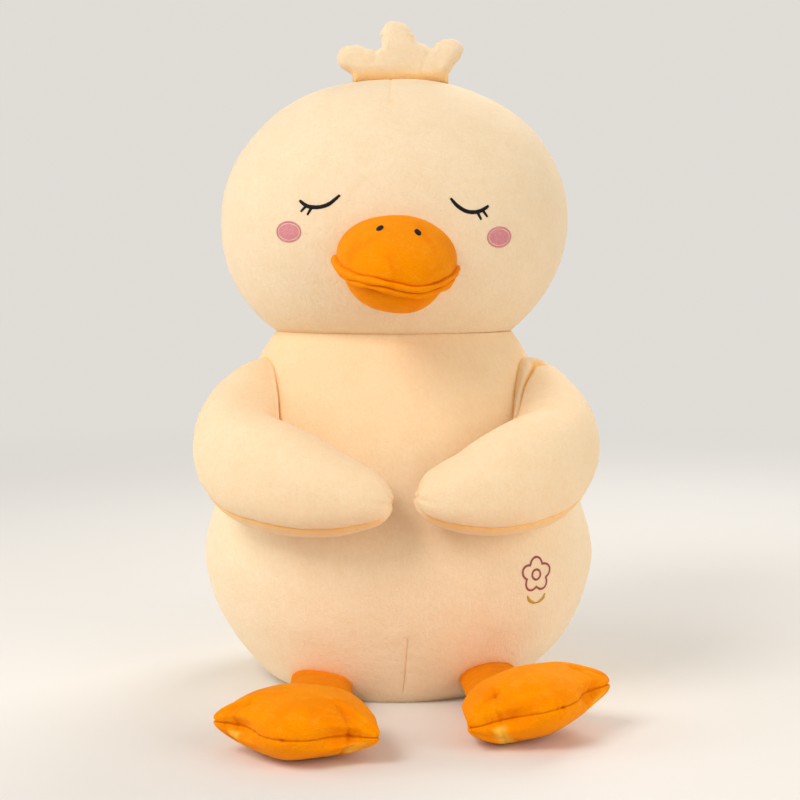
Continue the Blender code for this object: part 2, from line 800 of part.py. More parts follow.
def build_body(coat, satin, pink, ochre, filling):
    outer = body_form("body_cover", 0)
    hollow = helper(body_form("body_hollow", CLOTH))
    core = body_form("body_stuffing", CLOTH + GAP, every=2, top=stuffing_top())
    room = helper(body_form("body_room", -GAP))
    inner_room = helper(body_form("body_inner_room", -GAP - CLOTH))
    core_room = helper(body_form("body_core_room", -GAP * 2 - CLOTH))
    finish(outer, coat, None)
    finish(core, filling, None)
    cut(outer, hollow)

    root = body_surface(0, TAIL_HEIGHT_SHARE * NECK_HEIGHT, back=True)
    back = Vector((0, cos(TAIL_RISE), sin(TAIL_RISE)))
    rings = []
    for along_share, width_share in TAIL_OUTLINE_SHARES:
        centre = root + back * (along_share * (TAIL_LENGTH + TAIL_SINK) - TAIL_SINK)
        half = TAIL_WIDTH / 2 * width_share
        thick = back.cross(ACROSS) * half * TAIL_FLAT_SHARE
        rings.append(section(centre, ACROSS * half, thick, 2, TAIL_SEGMENTS))
    tail = skin("tail", rings, (None, root + back * TAIL_LENGTH))
    cut(finish(tail, coat, None), room)

    label = build_label()
    cut(finish(label, satin, None), room)

    petals, petals_out = belly_points(ring_of(FLOWER_RADIUS, FLOWER_POINTS, FLOWER_PETALS, FLOWER_PETAL_SHARE))
    flower = thread("flower_outline", petals, petals_out, FLOWER_THREAD, loop=True)
    cut(finish(flower, pink, None), room)
    middle, middle_out = belly_points(ring_of(FLOWER_CENTRE_RADIUS, FLOWER_CENTRE_POINTS))
    centre = thread("flower_centre", middle, middle_out, FLOWER_THREAD, loop=True)
    cut(finish(centre, pink, None), room)
    cut(finish(build_sprig(), ochre, None), room)
    return room, inner_room, core_room


def build_sprig():
    """Two leaves that part from one point under the flower."""
    bend_side, bend_rise = SPRIG_BEND_SHARES
    leaf = [(SPRIG_LEAF, SPRIG_HEIGHT), (SPRIG_LEAF * bend_side, SPRIG_HEIGHT * bend_rise)]
    flat = leaf + [(0, 0)] + [(-side, rise) for side, rise in reversed(leaf)]
    rows = smooth_rows([(side, rise - SPRIG_DROP - SPRIG_HEIGHT) for side, rise in flat], SPRIG_POINTS)
    return thread("flower_sprig", *belly_points(rows), FLOWER_THREAD)


def build_label():
    """A short folded ribbon that comes out of the back seam."""
    side = LABEL_SIDE_SHARE * BODY_WIDTH / 2
    height = LABEL_HEIGHT_SHARE * NECK_HEIGHT
    here = body_surface(side, height, back=True)
    out = body_normal(side, height, back=True)
    across = UP.cross(out).normalized()
    rings = []
    for step in range(LABEL_RINGS):
        share = step / (LABEL_RINGS - 1)
        run = share * (LABEL_LENGTH + LABEL_SINK) - LABEL_SINK
        along = Matrix.Rotation(-LABEL_DROOP * share, 3, across) @ out
        normal = across.cross(along)
        centre = here + along * run
        flat = normal * LABEL_THICKNESS / 2
        rings.append(section(centre, across * LABEL_WIDTH / 2, flat, LABEL_SQUARENESS, LABEL_SEGMENTS))
    return skin("care_label", rings)


def build_head(coat, filling, velvet, black, pink, parent):
    outer = head_form("head_cover", 0)
    hollow = helper(head_form("head_hollow", CLOTH))
    core = head_form("head_stuffing", CLOTH + GAP, every=2)
    room = helper(head_form("head_room", -GAP))
    below_seam = slab("below_neck_seam", NECK_HEIGHT)
    cut(outer, hollow, below_seam)
    cut(core, below_seam)
    join(core, plug_form("neck_plug", 0))
    finish(outer, coat, parent)
    finish(core, filling, parent)

    place = head_place()
    for side in SIDES:
        eye = face_thread(f"eye_{side}", EYE_ARC_SHARES[side], EYE_POINTS)
        for number, lash in enumerate(LASH_SHARES[side]):
            join(eye, face_thread(f"lash_{side}_{number}", lash, LASH_POINTS))
        cut(finish(eye, black, parent), room)
        shares = CHEEK_PLACE_SHARES[side]
        out = head_normal(*shares)
        across = UP.cross(out).normalized() * CHEEK_WIDTH / 2
        upward = out.cross(across).normalized() * CHEEK_HEIGHT / 2
        cheek = patch(f"cheek_{side}", head_surface(*shares), out, across, upward, place)
        cut(finish(cheek, pink, parent), room)
    build_bill(velvet, filling, black, room, parent)
    return room


def build_bill(velvet, filling, black, head_room, parent):
    lower_width = BILL_WIDTH * LOWER_BILL_SHARE
    lower_length = BILL_LENGTH * LOWER_BILL_SHARE
    domes = {
        "upper": (1, BILL_WIDTH, BILL_LENGTH, BILL_RISE, LIP_PROUD),
        "lower": (-1, lower_width, lower_length, BILL_DROP, LIP_PROUD - LOWER_LIP_INSET),
    }
    for name, (side, width, length, rise, proud) in domes.items():
        cover = bill_dome(f"{name}_bill_cover", side, width, length, rise, 0)
        hollow = helper(bill_dome(f"{name}_bill_hollow", side, width, length, rise, BILL_CLOTH, BILL_CLOTH))
        core = bill_dome(f"{name}_bill_stuffing", side, width, length, rise, BILL_CLOTH + GAP)
        cut(cover, hollow, head_room)
        cut(core, head_room)
        finish(cover, velvet, parent)
        finish(core, filling, parent)
        lip_width = BILL_WIDTH - (0 if side > 0 else 2 * LOWER_LIP_INSET)
        lip_length = BILL_LENGTH - (0 if side > 0 else LOWER_LIP_INSET)
        lip = bill_lip(f"{name}_lip", side, lip_width, lip_length, proud)
        cut(finish(lip, velvet, parent), head_room)

    place = bill_place()
    room = helper(bill_dome("upper_bill_room", 1, BILL_WIDTH, BILL_LENGTH, BILL_RISE, -GAP))
    for side, sign in SIDES.items():
        point = bill_surface(sign * NOSTRIL_SIDE_SHARE, NOSTRIL_LIFT)
        out = bill_normal(sign * NOSTRIL_SIDE_SHARE, NOSTRIL_LIFT)
        across = Vector((out.z, 0, -out.x)).normalized()
        across = Matrix.Rotation(-NOSTRIL_TURN[side], 3, out) @ across
        upward = out.cross(across)
        nostril = patch(
            f"nostril_{side}", point, out, across * NOSTRIL_LENGTH / 2, upward * NOSTRIL_WIDTH / 2, place
        )
        cut(finish(nostril, black, parent), room)


def crest_base():
    """The point of the head's top that the crest stands on."""
    share = CREST_FORWARD / (HEAD_DEPTH / 2)
    rise = HEAD_HEIGHT / 2 * (1 - share ** HEAD_ROUNDNESS) ** (1 / HEAD_ROUNDNESS)
    return head_place() @ Vector((CREST_SHIFT, -CREST_FORWARD, rise))


def build_crest(coat, head_room, parent):
    rows = smooth_rows(CREST_OUTLINE_SHARES, CREST_POINTS)
    base = crest_base()
    rings = []
    for depth_share, size_share in CREST_LEVEL_SHARES:
        ring = []
        for side, rise in rows:
            width = side * size_share * CREST_WIDTH
            height = (CREST_MIDDLE_SHARE + (rise - CREST_MIDDLE_SHARE) * size_share) * CREST_HEIGHT
            low = -CREST_SINK if rise < CREST_FOOT_SHARE else 0
            ring.append(base + Vector((width, depth_share * CREST_THICKNESS / 2, height + low)))
        rings.append(ring)
    made = skin("crest", rings)
    finish(made, coat, parent)
    cut(made, head_room)
    for sign in SIDES.values():
        cut(made, turned(head_room, base, "X", sign * CREST_FLOP, f"head_room_flop_{sign}"))
    return made


def build_arm(side, coat, filling, rooms, parent):
    arms = {}
    for name, inset, every in (("cover", 0, 1), ("hollow", CLOTH, 1), ("stuffing", CLOTH + GAP, 2)):
        made = f"arm_{side}_{name}"
        arms[name] = tube_form(made, arm_rows(side, inset), ARM_ROUNDNESS, ARM_SEGMENTS, every)
    for made, room in zip(arms.values(), rooms):
        cut(made, room)
    helper(arms["hollow"])
    cut(arms["cover"], arms["hollow"])
    rows = arm_rows(side, 0)
    inner_end = rows[ARM_MOUTH_RING][0]
    mouth = helper(rod(f"arm_{side}_mouth", rows[0][0], inner_end, ARM_MOUTH, ARM_SEGMENTS))
    cut(arms["cover"], mouth)
    finish(arms["cover"], coat, parent)
    finish(arms["stuffing"], filling, parent)


def build_leg(side, velvet, filling, floor, hip, ankle):
    foot_pivot = ankle_place(side)
    tilt_axis = foot_place(side).to_3x3() @ ACROSS
    foot_room = helper(foot_form(f"foot_{side}_room", side, -GAP))
    cutters = hip_blocks(side)
    for name, sign in SIDES.items():
        cutters.append(turned(foot_room, foot_pivot, tilt_axis, sign * ANKLE_TILT, f"foot_{side}_room_{name}"))
    cover = leg_form(f"leg_{side}_cover", side, 0)
    hollow = helper(leg_form(f"leg_{side}_hollow", side, CLOTH, longer=HEEL_DEPTH))
    core = leg_form(f"leg_{side}_stuffing", side, CLOTH + GAP)
    cut(cover, hollow, *cutters)
    cut(core, *cutters)
    finish(cover, velvet, hip)
    finish(core, filling, hip)

    foot = foot_form(f"foot_{side}_cover", side, 0)
    inside = helper(foot_form(f"foot_{side}_hollow", side, CLOTH))
    inside_floor = slab(f"foot_{side}_inside_floor", CLOTH)
    cut(inside, inside_floor)
    along = leg_direction(side)
    back = foot_pivot - along * LEG_LENGTH[side]
    inner_end = foot_pivot + along * HEEL_DEPTH
    mouth = helper(rod(f"foot_{side}_mouth", back, inner_end, LEG_MOUTH, LEG_SEGMENTS))
    cut(foot, inside, mouth, floor)
    stuffing = foot_form(f"foot_{side}_stuffing", side, CLOTH + GAP)
    cut(stuffing, slab(f"foot_{side}_core_floor", CLOTH + GAP))
    finish(foot, velvet, ankle)
    finish(stuffing, filling, ankle)


def build():
    for old in list(bpy.data.objects):
        bpy.data.objects.remove(old)
    plush = material("cream_plush", (0.93, 0.78, 0.52), 0.85, 0.3)
    velvet = material("orange_velvet", (0.95, 0.38, 0.02), 0.7, 0.4)
    filling = material("white_filling", (0.9, 0.9, 0.88), 0.95, 0.0)
    black = material("black_thread", (0.012, 0.01, 0.012), 0.45, 0.1)
    pink = material("pink_thread", (0.72, 0.30, 0.31), 0.45, 0.1)
    ochre = material("ochre_thread", (0.62, 0.38, 0.05), 0.45, 0.1)
    satin = material("label_satin", (0.9, 0.89, 0.86), 0.4, 0.1)

    neck = joint_empty("neck_pivot", neck_pivot(), ACROSS)
    crest_pivot = joint_empty("crest_pivot", crest_base(), ACROSS, neck)
    body_rooms = build_body(plush, satin, pink, ochre, filling)
    head_room = build_head(plush, filling, velvet, black, pink, neck)
    build_crest(plush, head_room, crest_pivot)

    cup = helper(plug_form("neck_cup", cup_clearance()))
    signs = SIDES.values()
    nods = [turned(head_room, neck_pivot(), "X", sign * NOD, f"head_room_nod_{sign}") for sign in signs]
    cut(bpy.data.objects["body_cover"], cup, head_room, *nods)
    cut(bpy.data.objects["body_stuffing"], cup)

    floor = slab("floor", 0)
    for side in SIDES:
        point, axis = shoulder_axis(side)
        shoulder = joint_empty(f"shoulder_{side}_pivot", point, axis)
        build_arm(side, plush, filling, body_rooms, shoulder)
        hip = joint_empty(f"hip_{side}_pivot", hip_place(side), UP)
        tilt_axis = foot_place(side).to_3x3() @ ACROSS
        ankle = joint_empty(f"ankle_{side}_pivot", ankle_place(side), tilt_axis, hip)
        build_leg(side, velvet, filling, floor, hip, ankle)


build()
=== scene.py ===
"""The looks of a sitting plush duck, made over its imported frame.

Metres, +Z up. The duck faces -Y, and left and right are as seen by someone who faces it. Every cloth form is a fine
grid of points from the same shares as the frame's solids, scaled by the frame's own boxes and pressed in at its seams.
"""

import json
from math import asin, cos, pi, radians, sin, sqrt

import bmesh
import bpy
import numpy as np
from mathutils import Matrix, Vector
from mathutils.bvhtree import BVHTree
from mathutils.geometry import delaunay_2d_cdt


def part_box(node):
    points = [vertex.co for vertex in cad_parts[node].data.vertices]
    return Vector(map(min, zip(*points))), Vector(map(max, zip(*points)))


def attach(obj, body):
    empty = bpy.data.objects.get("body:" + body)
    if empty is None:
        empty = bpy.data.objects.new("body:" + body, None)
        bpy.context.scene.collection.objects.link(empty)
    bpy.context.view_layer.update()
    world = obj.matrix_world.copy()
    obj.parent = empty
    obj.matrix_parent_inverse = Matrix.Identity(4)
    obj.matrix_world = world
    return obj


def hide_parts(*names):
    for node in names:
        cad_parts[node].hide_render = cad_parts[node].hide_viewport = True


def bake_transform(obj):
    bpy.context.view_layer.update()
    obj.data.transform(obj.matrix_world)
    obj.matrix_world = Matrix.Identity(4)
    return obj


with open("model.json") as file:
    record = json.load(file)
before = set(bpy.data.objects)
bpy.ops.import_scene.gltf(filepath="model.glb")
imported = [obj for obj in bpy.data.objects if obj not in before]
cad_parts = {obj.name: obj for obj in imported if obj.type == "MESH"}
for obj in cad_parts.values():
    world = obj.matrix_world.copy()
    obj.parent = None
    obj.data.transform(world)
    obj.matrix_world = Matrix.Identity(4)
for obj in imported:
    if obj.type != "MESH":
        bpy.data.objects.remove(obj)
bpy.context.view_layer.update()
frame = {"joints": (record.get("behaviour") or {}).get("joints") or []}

SIDES = {"left": -1, "right": 1}
UP = Vector((0, 0, 1))
ACROSS = Vector((1, 0, 0))


def joint_place(name):
    """Where a joint of the frame lies."""
    return Vector(next(joint["pos_m"] for joint in frame["joints"] if joint["name"] == name))


def box_size(node):
    low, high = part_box(node)
    return high - low


# Sizes that the frame gives
BODY = box_size("body_cover")
NECK_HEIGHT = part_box("head_cover")[0].z
NECK_MIDDLE = joint_place("head_nod").x
HEAD_DEPTH = box_size("head_cover").y
CREST = box_size("crest")

# Random draws: their seeds. Draws that differ between the two sides add -1 for the left and 1 for the right, and
# seams in a row count up from theirs.
SEEDS = {
    "body lumps": (3, 4), "belly dart": 11, "body seams": 12, "closing seam": 18, "body neck": 21,
    "head lumps": (5, 6), "head neck": 22, "head dart": 31, "head seams": 32, "crest lumps": 41, "crest seam": 42,
    "arm lumps": (51, 53), "arm seams": 55, "hand tucks": 57, "leg lumps": (61,), "leg seam": 62, "leg folds": 63,
    "foot lumps": (71, 73), "foot seam": 75, "foot tucks": 77, "upper bill": 81, "lower bill": 87,
    "tail lumps": (91,), "tail seams": 92, "tail tucks": 93, "eye": 3, "cheek": 7, "nostril": 11, "flower": 21,
}

# Cloth: lumps are rows of height and size, tones of painted shading run from 0 to 1, and a grading says how much
# closer the grid's lines lie at a seam or an end, and within what share of the way.
WAVES = 30
WAVE_SPREAD = (0.7, 1.6)
SEAM_WIDTH = 0.0011
SEAM_DEPTH = 0.0014
SEAM_PULL = 0.0011
SEAM_PULL_WIDTH = 0.007
SEAM_PUCKER = 0.35
SEAM_PUCKER_SIZES = (0.011, 0.017, 0.029)
# The tone along a seam: partly the seam's own line, partly painted shade in its groove.
SEAM_TONE = 0.4
SEAM_GRADING = (6, 0.003)
LONG_SEAM_DEPTH = 0.0010
# Painted shade in the dents of tucks.
TUCK_SHADE = 0.35
# Painted shade: the deeper tone of cloth that lies close to another piece.
CONTACT_SHADE_REACH = 0.0048
CONTACT_SHADE_SEARCH = 5 * CONTACT_SHADE_REACH
CONTACT_SHADE = 0.55
# The warmer tone where the arms and the chest throw light on each other.
HUG_TONE = {"chest": 0.30, "arm": 0.21}

# Body
BODY_ROUNDNESS = 2.1
BODY_SHIFT = 0.0023
SEAT_SHIFT = -0.0017
BODY_ROWS = 230
BODY_COLUMNS = 350
BODY_END_GRADING = (3, 0.05)
# Height as a share of the neck's height, and width and depth as shares of the body's own.
BODY_OUTLINE_SHARES = (
    (0.0, 0.59, 0.78), (0.035, 0.705, 0.85), (0.087, 0.805, 0.90), (0.145, 0.882, 0.94), (0.23, 0.957, 0.98),
    (0.338, 1.0, 1.0), (0.42, 0.988, 0.988), (0.497, 0.948, 0.948), (0.61, 0.884, 0.884), (0.72, 0.822, 0.822),
    (0.84, 0.75, 0.75), (0.92, 0.692, 0.692), (0.965, 0.648, 0.648), (1.0, 0.60, 0.60),
)
BODY_LUMPS = ((0.0014, 0.11), (0.0004, 0.04))
SEAT_CALM = (0.004, 0.03)
SEAT_RINGS = 8
SEAT_RING_SHARES = (0.15, 0.96)
BODY_SEAM_START = (0.004, 0.012)
CHEST_MIDDLE = (0.004, 0.255)
CHEST_REACH = (0.075, 0.055)
CHEST_SWELL = 0.0045
HUG_HEIGHT = (0.17, 0.27)
BELLY_DART_SIDE = 0.0072
BELLY_DART_START = (0.006, 0.018)
BELLY_DART_TOP = 0.072
BELLY_DART_FADE = 0.012
BELLY_DART_WIDTH = 0.0008
# The dart's tone: partly its own line, partly painted shade.
BELLY_DART_TONE = 0.3
CLOSING_LENGTH = 0.085
CLOSING_FADE = 0.008
CLOSING_DEPTH = 0.0012
CLOSING_PUCKER = 0.9
CLOSING_WIDTH = 0.0016

# Neck
NECK_SEAM_SHARE = 0.603
NECK_CALM = 0.03
NECK_JOIN = {"body": 0.006, "head": 0.007}
NECK_PINCH_REACH = 0.0016
NECK_PINCH_DEPTH = 0.0008
# Painted shade in the pinch at the neck's seam.
NECK_PINCH_SHADE = 0.4
NECK_TUCKS = 15
NECK_TUCK_SHIFT = 0.15
NECK_TUCK_STRENGTHS = (0.15, 0.5)
NECK_TUCK_DEPTH = 0.0013
NECK_TUCK_WIDTH = 0.0022
NECK_TUCK_LENGTH = 0.006
# The deeper tucks in front, by their distance to the side of the middle and their strength.
NECK_FRONT_TUCKS = ((-0.077, 0.8), (0.0, 0.7), (0.071, 0.9))
# The shallow fold under the chin.
CHIN_FOLD_DROP = 0.0062
CHIN_FOLD_WAVE = 0.0012
CHIN_FOLD_BENDS = 60
CHIN_FOLD_WIDTH = 0.0026
CHIN_FOLD_SIDE = -0.008
CHIN_FOLD_REACH = 0.034
CHIN_FOLD_DEPTH = 0.0016

# Head
HEAD_WIDTH = 0.3425
HEAD_HEIGHT = 0.282
HEAD_RISE = 0.1066
HEAD_ROLL = radians(-1.3)
HEAD_ROUNDNESS = 2.1
HEAD_ROWS = 210
HEAD_COLUMNS = 350
HEAD_NECK_GRADING = (4, 0.035)
HEAD_LUMPS = ((0.0013, 0.11), (0.0004, 0.04))
HEAD_SEAM_END = (0.001, 0.004)
HEAD_DART_DROP = (0.05, 0.04)
HEAD_DART_FRONT = 0.093
HEAD_DART_FADE = 0.014
HEAD_DART_STRENGTH = 0.5
HEAD_DART_WIDTH = 0.0007
HEAD_DIMPLE = {"depth": 0.0006, "width": 0.004, "length": 0.006}

# Arms
ARM_HEIGHT = 0.104
ARM_THICKNESS = 0.080
ARM_ROUNDNESS = 2.2
ARM_ROWS = 200
ARM_COLUMNS = 160
ARM_TIP_GRADING = (3, 0.04)
ARM_SEAM_GRADING = (5, 0.008)
# Along the arm: distance out as a share of half the body's width, forward as a share of half its depth, height as a
# share of the neck's, then the arm's own height and thickness.
ARM_PATH_SHARES = (
    (0.560, 0.180, 0.862, 0.385, 0.45), (0.670, 0.300, 0.845, 0.530, 0.70), (0.735, 0.430, 0.800, 0.640, 0.87),
    (0.772, 0.565, 0.742, 0.790, 0.975), (0.762, 0.710, 0.687, 0.905, 1.0), (0.688, 0.850, 0.651, 0.975, 1.0),
    (0.578, 0.960, 0.630, 0.970, 1.0), (0.450, 1.045, 0.610, 0.915, 0.975), (0.315, 1.100, 0.592, 0.790, 0.925),
    (0.184, 1.135, 0.582, 0.625, 0.825), (0.079, 1.150, 0.575, 0.430, 0.65), (0.010, 1.155, 0.572, 0.180, 0.30),
)
ARM_TIP_SHARE = 0.94
ARM_LUMPS = ((0.0012, 0.08), (0.0003, 0.03))
ARM_CALM = 0.02
ARM_SEAM_ANGLES = (radians(-46), radians(-128))
# The seams' tones: partly their own lines, partly painted shade in their grooves.
ARM_SEAM_TONES = (0.95, 0.475)
ARM_SEAM_DEPTH = 0.0013
ARM_SEAM_PUCKER = 0.5
ARM_SEAM_END = 0.006
# Painted shade on the strip under the arm, between its two seams.
STRIP_SHADE = 0.66
STRIP_REACH = 0.020
STRIP_START = (0.04, 0.12)
STRIP_END = 0.012
STRIP_EDGE = 0.02
# The fold round the shoulder: where it starts along the arm, how fast it runs down towards the body, and its ends.
SHOULDER_FOLD = {"left": 0.072, "right": 0.100}
# Its depth, its painted shade and the width of that shade.
SHOULDER_FOLD_CUT = {"left": (0.0004, 0.3, 0.0030), "right": (0.0040, 0.72, 0.0036)}
SHOULDER_FOLD_WIDTH = 0.0021
SHOULDER_FOLD_TURN = radians(70)
SHOULDER_FOLD_RUN = 0.131
SHOULDER_FOLD_ENDS = (radians(20), radians(50), radians(140), radians(165))
SHOULDER_FOLD_WAVE = 0.0008
SHOULDER_FOLD_BENDS = 9
SHOULDER_PUFF = 0.0016
SHOULDER_PUFF_GAP = 0.008
SHOULDER_PUFF_WIDTH = 0.007
HAND_SHIFT = {"left": 0.0, "right": 0.0145}
HAND_LIFT = {"left": 0.0, "right": 0.0085}
HAND_TUCKS = 7
HAND_TUCK = {"depth": 0.0019, "width": 0.0024, "length": 0.011}
TUCK_SHIFT = 0.2

# Legs
LEG_WIDTH = 0.058
LEG_THICKNESS = 0.032
LEG_START_DEPTH = 0.026
LEG_ROWS = 80
LEG_COLUMNS = 110
LEG_SEAM_GRADING = (4, 0.01)
LEG_LUMPS = ((0.0008, 0.03),)
LEG_FOLDS = 9
# The least and the most of each fold's place along the leg, lean and strength.
LEG_FOLD_ENDS = ((0.02, 0.12), (-0.5, 0.5), (0.4, 1.0))
LEG_FOLD_DEPTH = 0.0016
LEG_FOLD_WIDTH = 0.0034
LEG_SEAM_DEPTH = 0.0006
LEG_LIFT = 0.0004
# Painted shade over the whole leg, under the belly.
LEG_SHADE = 0.52

# Feet
FOOT_LENGTH = 0.120
FOOT_WIDTH = 0.148
FOOT_THICKNESS = 0.055
FOOT_ROUNDNESS = {"over": 2.15, "under": 1.95}
FOOT_OVER_SHARE = {"left": 1.05, "right": 1.18}
FOOT_ROWS = 100
FOOT_COLUMNS = 340
FOOT_LUMPS = ((0.0011, 0.045), (0.0004, 0.018))
HEEL_DEPTH = 0.012
FOOT_YAW = {"left": radians(-13), "right": radians(27)}
FOOT_PITCH = {"left": radians(1), "right": radians(11)}
FOOT_ROLL = {"left": radians(-2), "right": radians(8)}
FOOT_OUTLINE_SHARES = (
    (-0.5, 0.0), (-0.45, 0.16), (-0.28, 0.28), (-0.06, 0.38), (0.09, 0.45), (0.17, 0.50), (0.21, 0.42),
    (0.18, 0.32), (0.18, 0.26), (0.29, 0.21), (0.415, 0.135), (0.468, 0.0),
)
# The stuffed foot swells into the valleys of its outline, most of all away from its seam.
FOOT_PAD_SHARES = (
    (-0.5, 0.0), (-0.47, 0.19), (-0.33, 0.33), (-0.10, 0.44), (0.07, 0.485), (0.17, 0.50), (0.225, 0.43),
    (0.285, 0.345), (0.335, 0.27), (0.385, 0.19), (0.438, 0.105), (0.468, 0.0),
)
FOOT_SWELL = 0.92
FOOT_SWELL_LIFT = 0.45
SEAM_SWELL_SHARE = 0.48
# The seam's tone is partly its own line, partly painted shade.
FOOT_SEAM = {"depth": 0.0011, "pucker": 0.6, "width": 0.0008, "tone": 0.9}
TOE_TIP_SHARES = ((0.17, 0.50), (0.468, 0.0), (0.17, -0.50))
TOE_TAPER = 0.24
TOE_TAPER_REACH = 0.027
# Small dents at the toes' tips, with painted shade in them.
TOE_NICK_SHARE = 0.985
TOE_NICK_SIZE = 0.0034
TOE_NICK_DEPTH = 0.0022
VALLEY_SHARE = (0.175, 0.29)
VALLEY_TUCK = {"depth": 0.0020, "width": 0.0050, "length": 0.016}
VALLEY_WAVE = 0.002
VALLEY_WAVE_LENGTH = 0.006
# The finer folds of a valley: how far each leans, and its depth.
VALLEY_FOLDS = ((0.5, 0.0014), (-0.45, 0.0012), (0.15, 0.0008))
VALLEY_FOLD_WAVE_LENGTH = 0.004
VALLEY_FOLD_START = 0.004
VALLEY_FOLD_WIDTH = 0.0022
VALLEY_FOLD_LENGTH = 0.011
# The pale, crushed pile under each valley.
CRUSHED_WIDTH = 0.007
CRUSHED_LEAN = 0.3
CRUSHED_DROP = (0.001, 0.006)
CRUSHED_LENGTH = 0.02
FOOT_TUCKS = 30
FOOT_TUCK_STRENGTHS = (0.2, 0.9)
FOOT_TUCK_DEPTH = 0.0009
FOOT_TUCK_WIDTH = 0.0017
FOOT_TUCK_LENGTH = 0.007

# Bill
BILL_WIDTH = 0.112
BILL_LENGTH = 0.076
BILL_RISE = 0.0475
BILL_DROP = 0.040
BILL_ROUNDNESS = 2.15
BILL_CROWN = 2.08
BILL_SINK = 0.016
BILL_PITCH = radians(14.5)
BILL_ROLL = radians(6.5)
BILL_HEIGHT_SHARE = -0.29
BILL_SHIFT = 0.0015
BILL_ROWS = 80
BILL_COLUMNS = 300
BILL_LUMPS = ((0.0006, 0.026),)
BILL_SEAM_DEPTH = 0.0012
BILL_SEAM_PUCKER = 0.5
LOWER_BILL_SHARE = 0.84
LOWER_BILL_SHADE = 0.6
LOWER_BILL_SHADE_REACH = 0.009
# The mouth's waves: height, place to the side and width.
MOUTH_WAVES = ((0.0024, -0.016, 0.020), (-0.0022, 0.024, 0.018))
MOUTH_WAVE_START = 0.02
MOUTH_WAVE_FADE = 0.7
LIP_HEIGHT = 0.0051
LIP_PROUD = 0.0025
LIP_GAP = 0.0001
LIP_ROWS = 34
LIP_ROUNDING = 0.8
LIP_RIPPLE = 0.0002
LIP_RIPPLE_LENGTH = 0.0042
LIP_RIPPLE_DRIFT = 0.011
LIP_LUMPS = (0.0006, 0.016)
LIP_PARTING = 0.0007
LIP_PARTING_SIDE = 0.03
LIP_PARTING_AHEAD = 0.05
LOWER_LIP_INSET = 0.001
UPPER_LIP_FULLER = 0.0011
UPPER_LIP_FULLER_SIDE = 0.045

# Crest
CREST_OUTLINE_SHARES = (
    (0.378, 0.0), (0.40, 0.15), (0.47, 0.33), (0.50, 0.50), (0.46, 0.63), (0.39, 0.685), (0.30, 0.645),
    (0.235, 0.57), (0.145, 0.62), (0.115, 0.76), (0.04, 0.92), (-0.055, 1.0), (-0.12, 0.95), (-0.155, 0.80),
    (-0.165, 0.55), (-0.25, 0.51), (-0.35, 0.585), (-0.45, 0.54), (-0.505, 0.38), (-0.48, 0.18), (-0.40, 0.07),
    (-0.375, 0.0),
)
CREST_HEIGHT = 0.0545
CREST_FORWARD = 0.018
CREST_SHIFT = 0.0095
CREST_SINK = 0.006
CREST_COLUMNS = 620
CREST_FOOT_COLUMNS = 60
CREST_SPACING = 0.0009
CREST_EDGE_ROWS = (0.00015, 0.0005, 0.0011, 0.0019)
CREST_EDGE_ROW_SHARE = 0.97
CREST_FULL_SHARE = 0.60
TRIANGLE_HEIGHT = 0.866
CREST_LUMPS = (0.0008, 0.03)
CREST_CALM = 0.01
# Folds: where each begins, the way it runs, its depth, width and length.
CREST_FOLDS = (
    ((-0.0215, 0.0305), (-0.30, -0.95), 0.0034, 0.0026, 0.010),
    ((-0.0195, 0.0300), (0.45, -0.9), 0.0014, 0.0018, 0.007),
    ((-0.0235, 0.0300), (-0.85, -0.5), 0.0016, 0.0018, 0.008),
    ((0.0295, 0.0320), (-0.25, -0.95), 0.0030, 0.0028, 0.011),
    ((0.0300, 0.0320), (0.55, -0.8), 0.0012, 0.0018, 0.007),
    ((0.0155, 0.0400), (-0.9, 0.25), 0.0016, 0.0015, 0.009),
    ((0.0170, 0.0365), (-0.95, 0.10), 0.0014, 0.0014, 0.008),
    ((0.0120, 0.0440), (-0.9, 0.40), 0.0011, 0.0014, 0.007),
    ((-0.0190, 0.0380), (0.95, 0.20), 0.0010, 0.0016, 0.006),
)
CREST_FOLD_WAVE = 0.0006
CREST_FOLD_WAVE_LENGTH = 0.003
CREST_FOLD_START = 0.002
# Painted shade in the crest's folds, full at this depth.
CREST_FOLD_SHADE = 0.30
CREST_FOLD_FULL_DEPTH = 0.003
CREST_SEAM_START = 0.004
CREST_SEAM_DEPTH = 0.0004
CREST_SEAM_PUCKER = 0.8
# Painted shade where the crest's foot meets the head.
CREST_FOOT_SHADE = 0.5
CREST_FOOT_RISE = 0.0015
CREST_FOOT_REACH = 0.0075

# Tail
TAIL_WIDTH = 0.058
TAIL_LENGTH = 0.046
TAIL_SINK = 0.02
TAIL_RISE = radians(28)
TAIL_HEIGHT_SHARE = 0.30
TAIL_FLAT_SHARE = 0.8
TAIL_OUTLINE_SHARES = ((0.0, 1.0), (0.30, 0.97), (0.55, 0.82), (0.78, 0.56), (0.93, 0.30), (1.0, 0.0))
TAIL_TIP_SHARE = 0.01
TAIL_ROWS = 90
TAIL_COLUMNS = 110
TAIL_SEAM_GRADING = (5, 0.01)
TAIL_LUMPS = ((0.0009, 0.03),)
TAIL_CALM = 0.01
TAIL_SEAM_END = 0.004
TAIL_SEAM_DEPTH = 0.0009
TAIL_SEAM_PUCKER = 0.8
TAIL_TUCKS = 9
TAIL_TUCK = {"depth": 0.0013, "width": 0.0022, "length": 0.008}
# Painted shade where the tail meets the body.
TAIL_ROOT_SHADE = 0.8
TAIL_ROOT_RISE = 0.001
TAIL_ROOT_REACH = 0.003

# Care label
LABEL_WIDTH = 0.016
LABEL_LENGTH = 0.026
LABEL_SINK = 0.006
LABEL_LOOP = 0.0009
LABEL_SIDE_SHARE = -0.42
LABEL_HEIGHT_SHARE = 0.24
LABEL_DROOP = radians(40)
LABEL_RIPPLE = 0.0004
LABEL_RIPPLE_LENGTH = 0.004
LABEL_ROWS = 24
LABEL_LOOP_ROWS = 9
LABEL_COLUMN_SHARES = (-0.5, -0.25, 0, 0.25, 0.5)

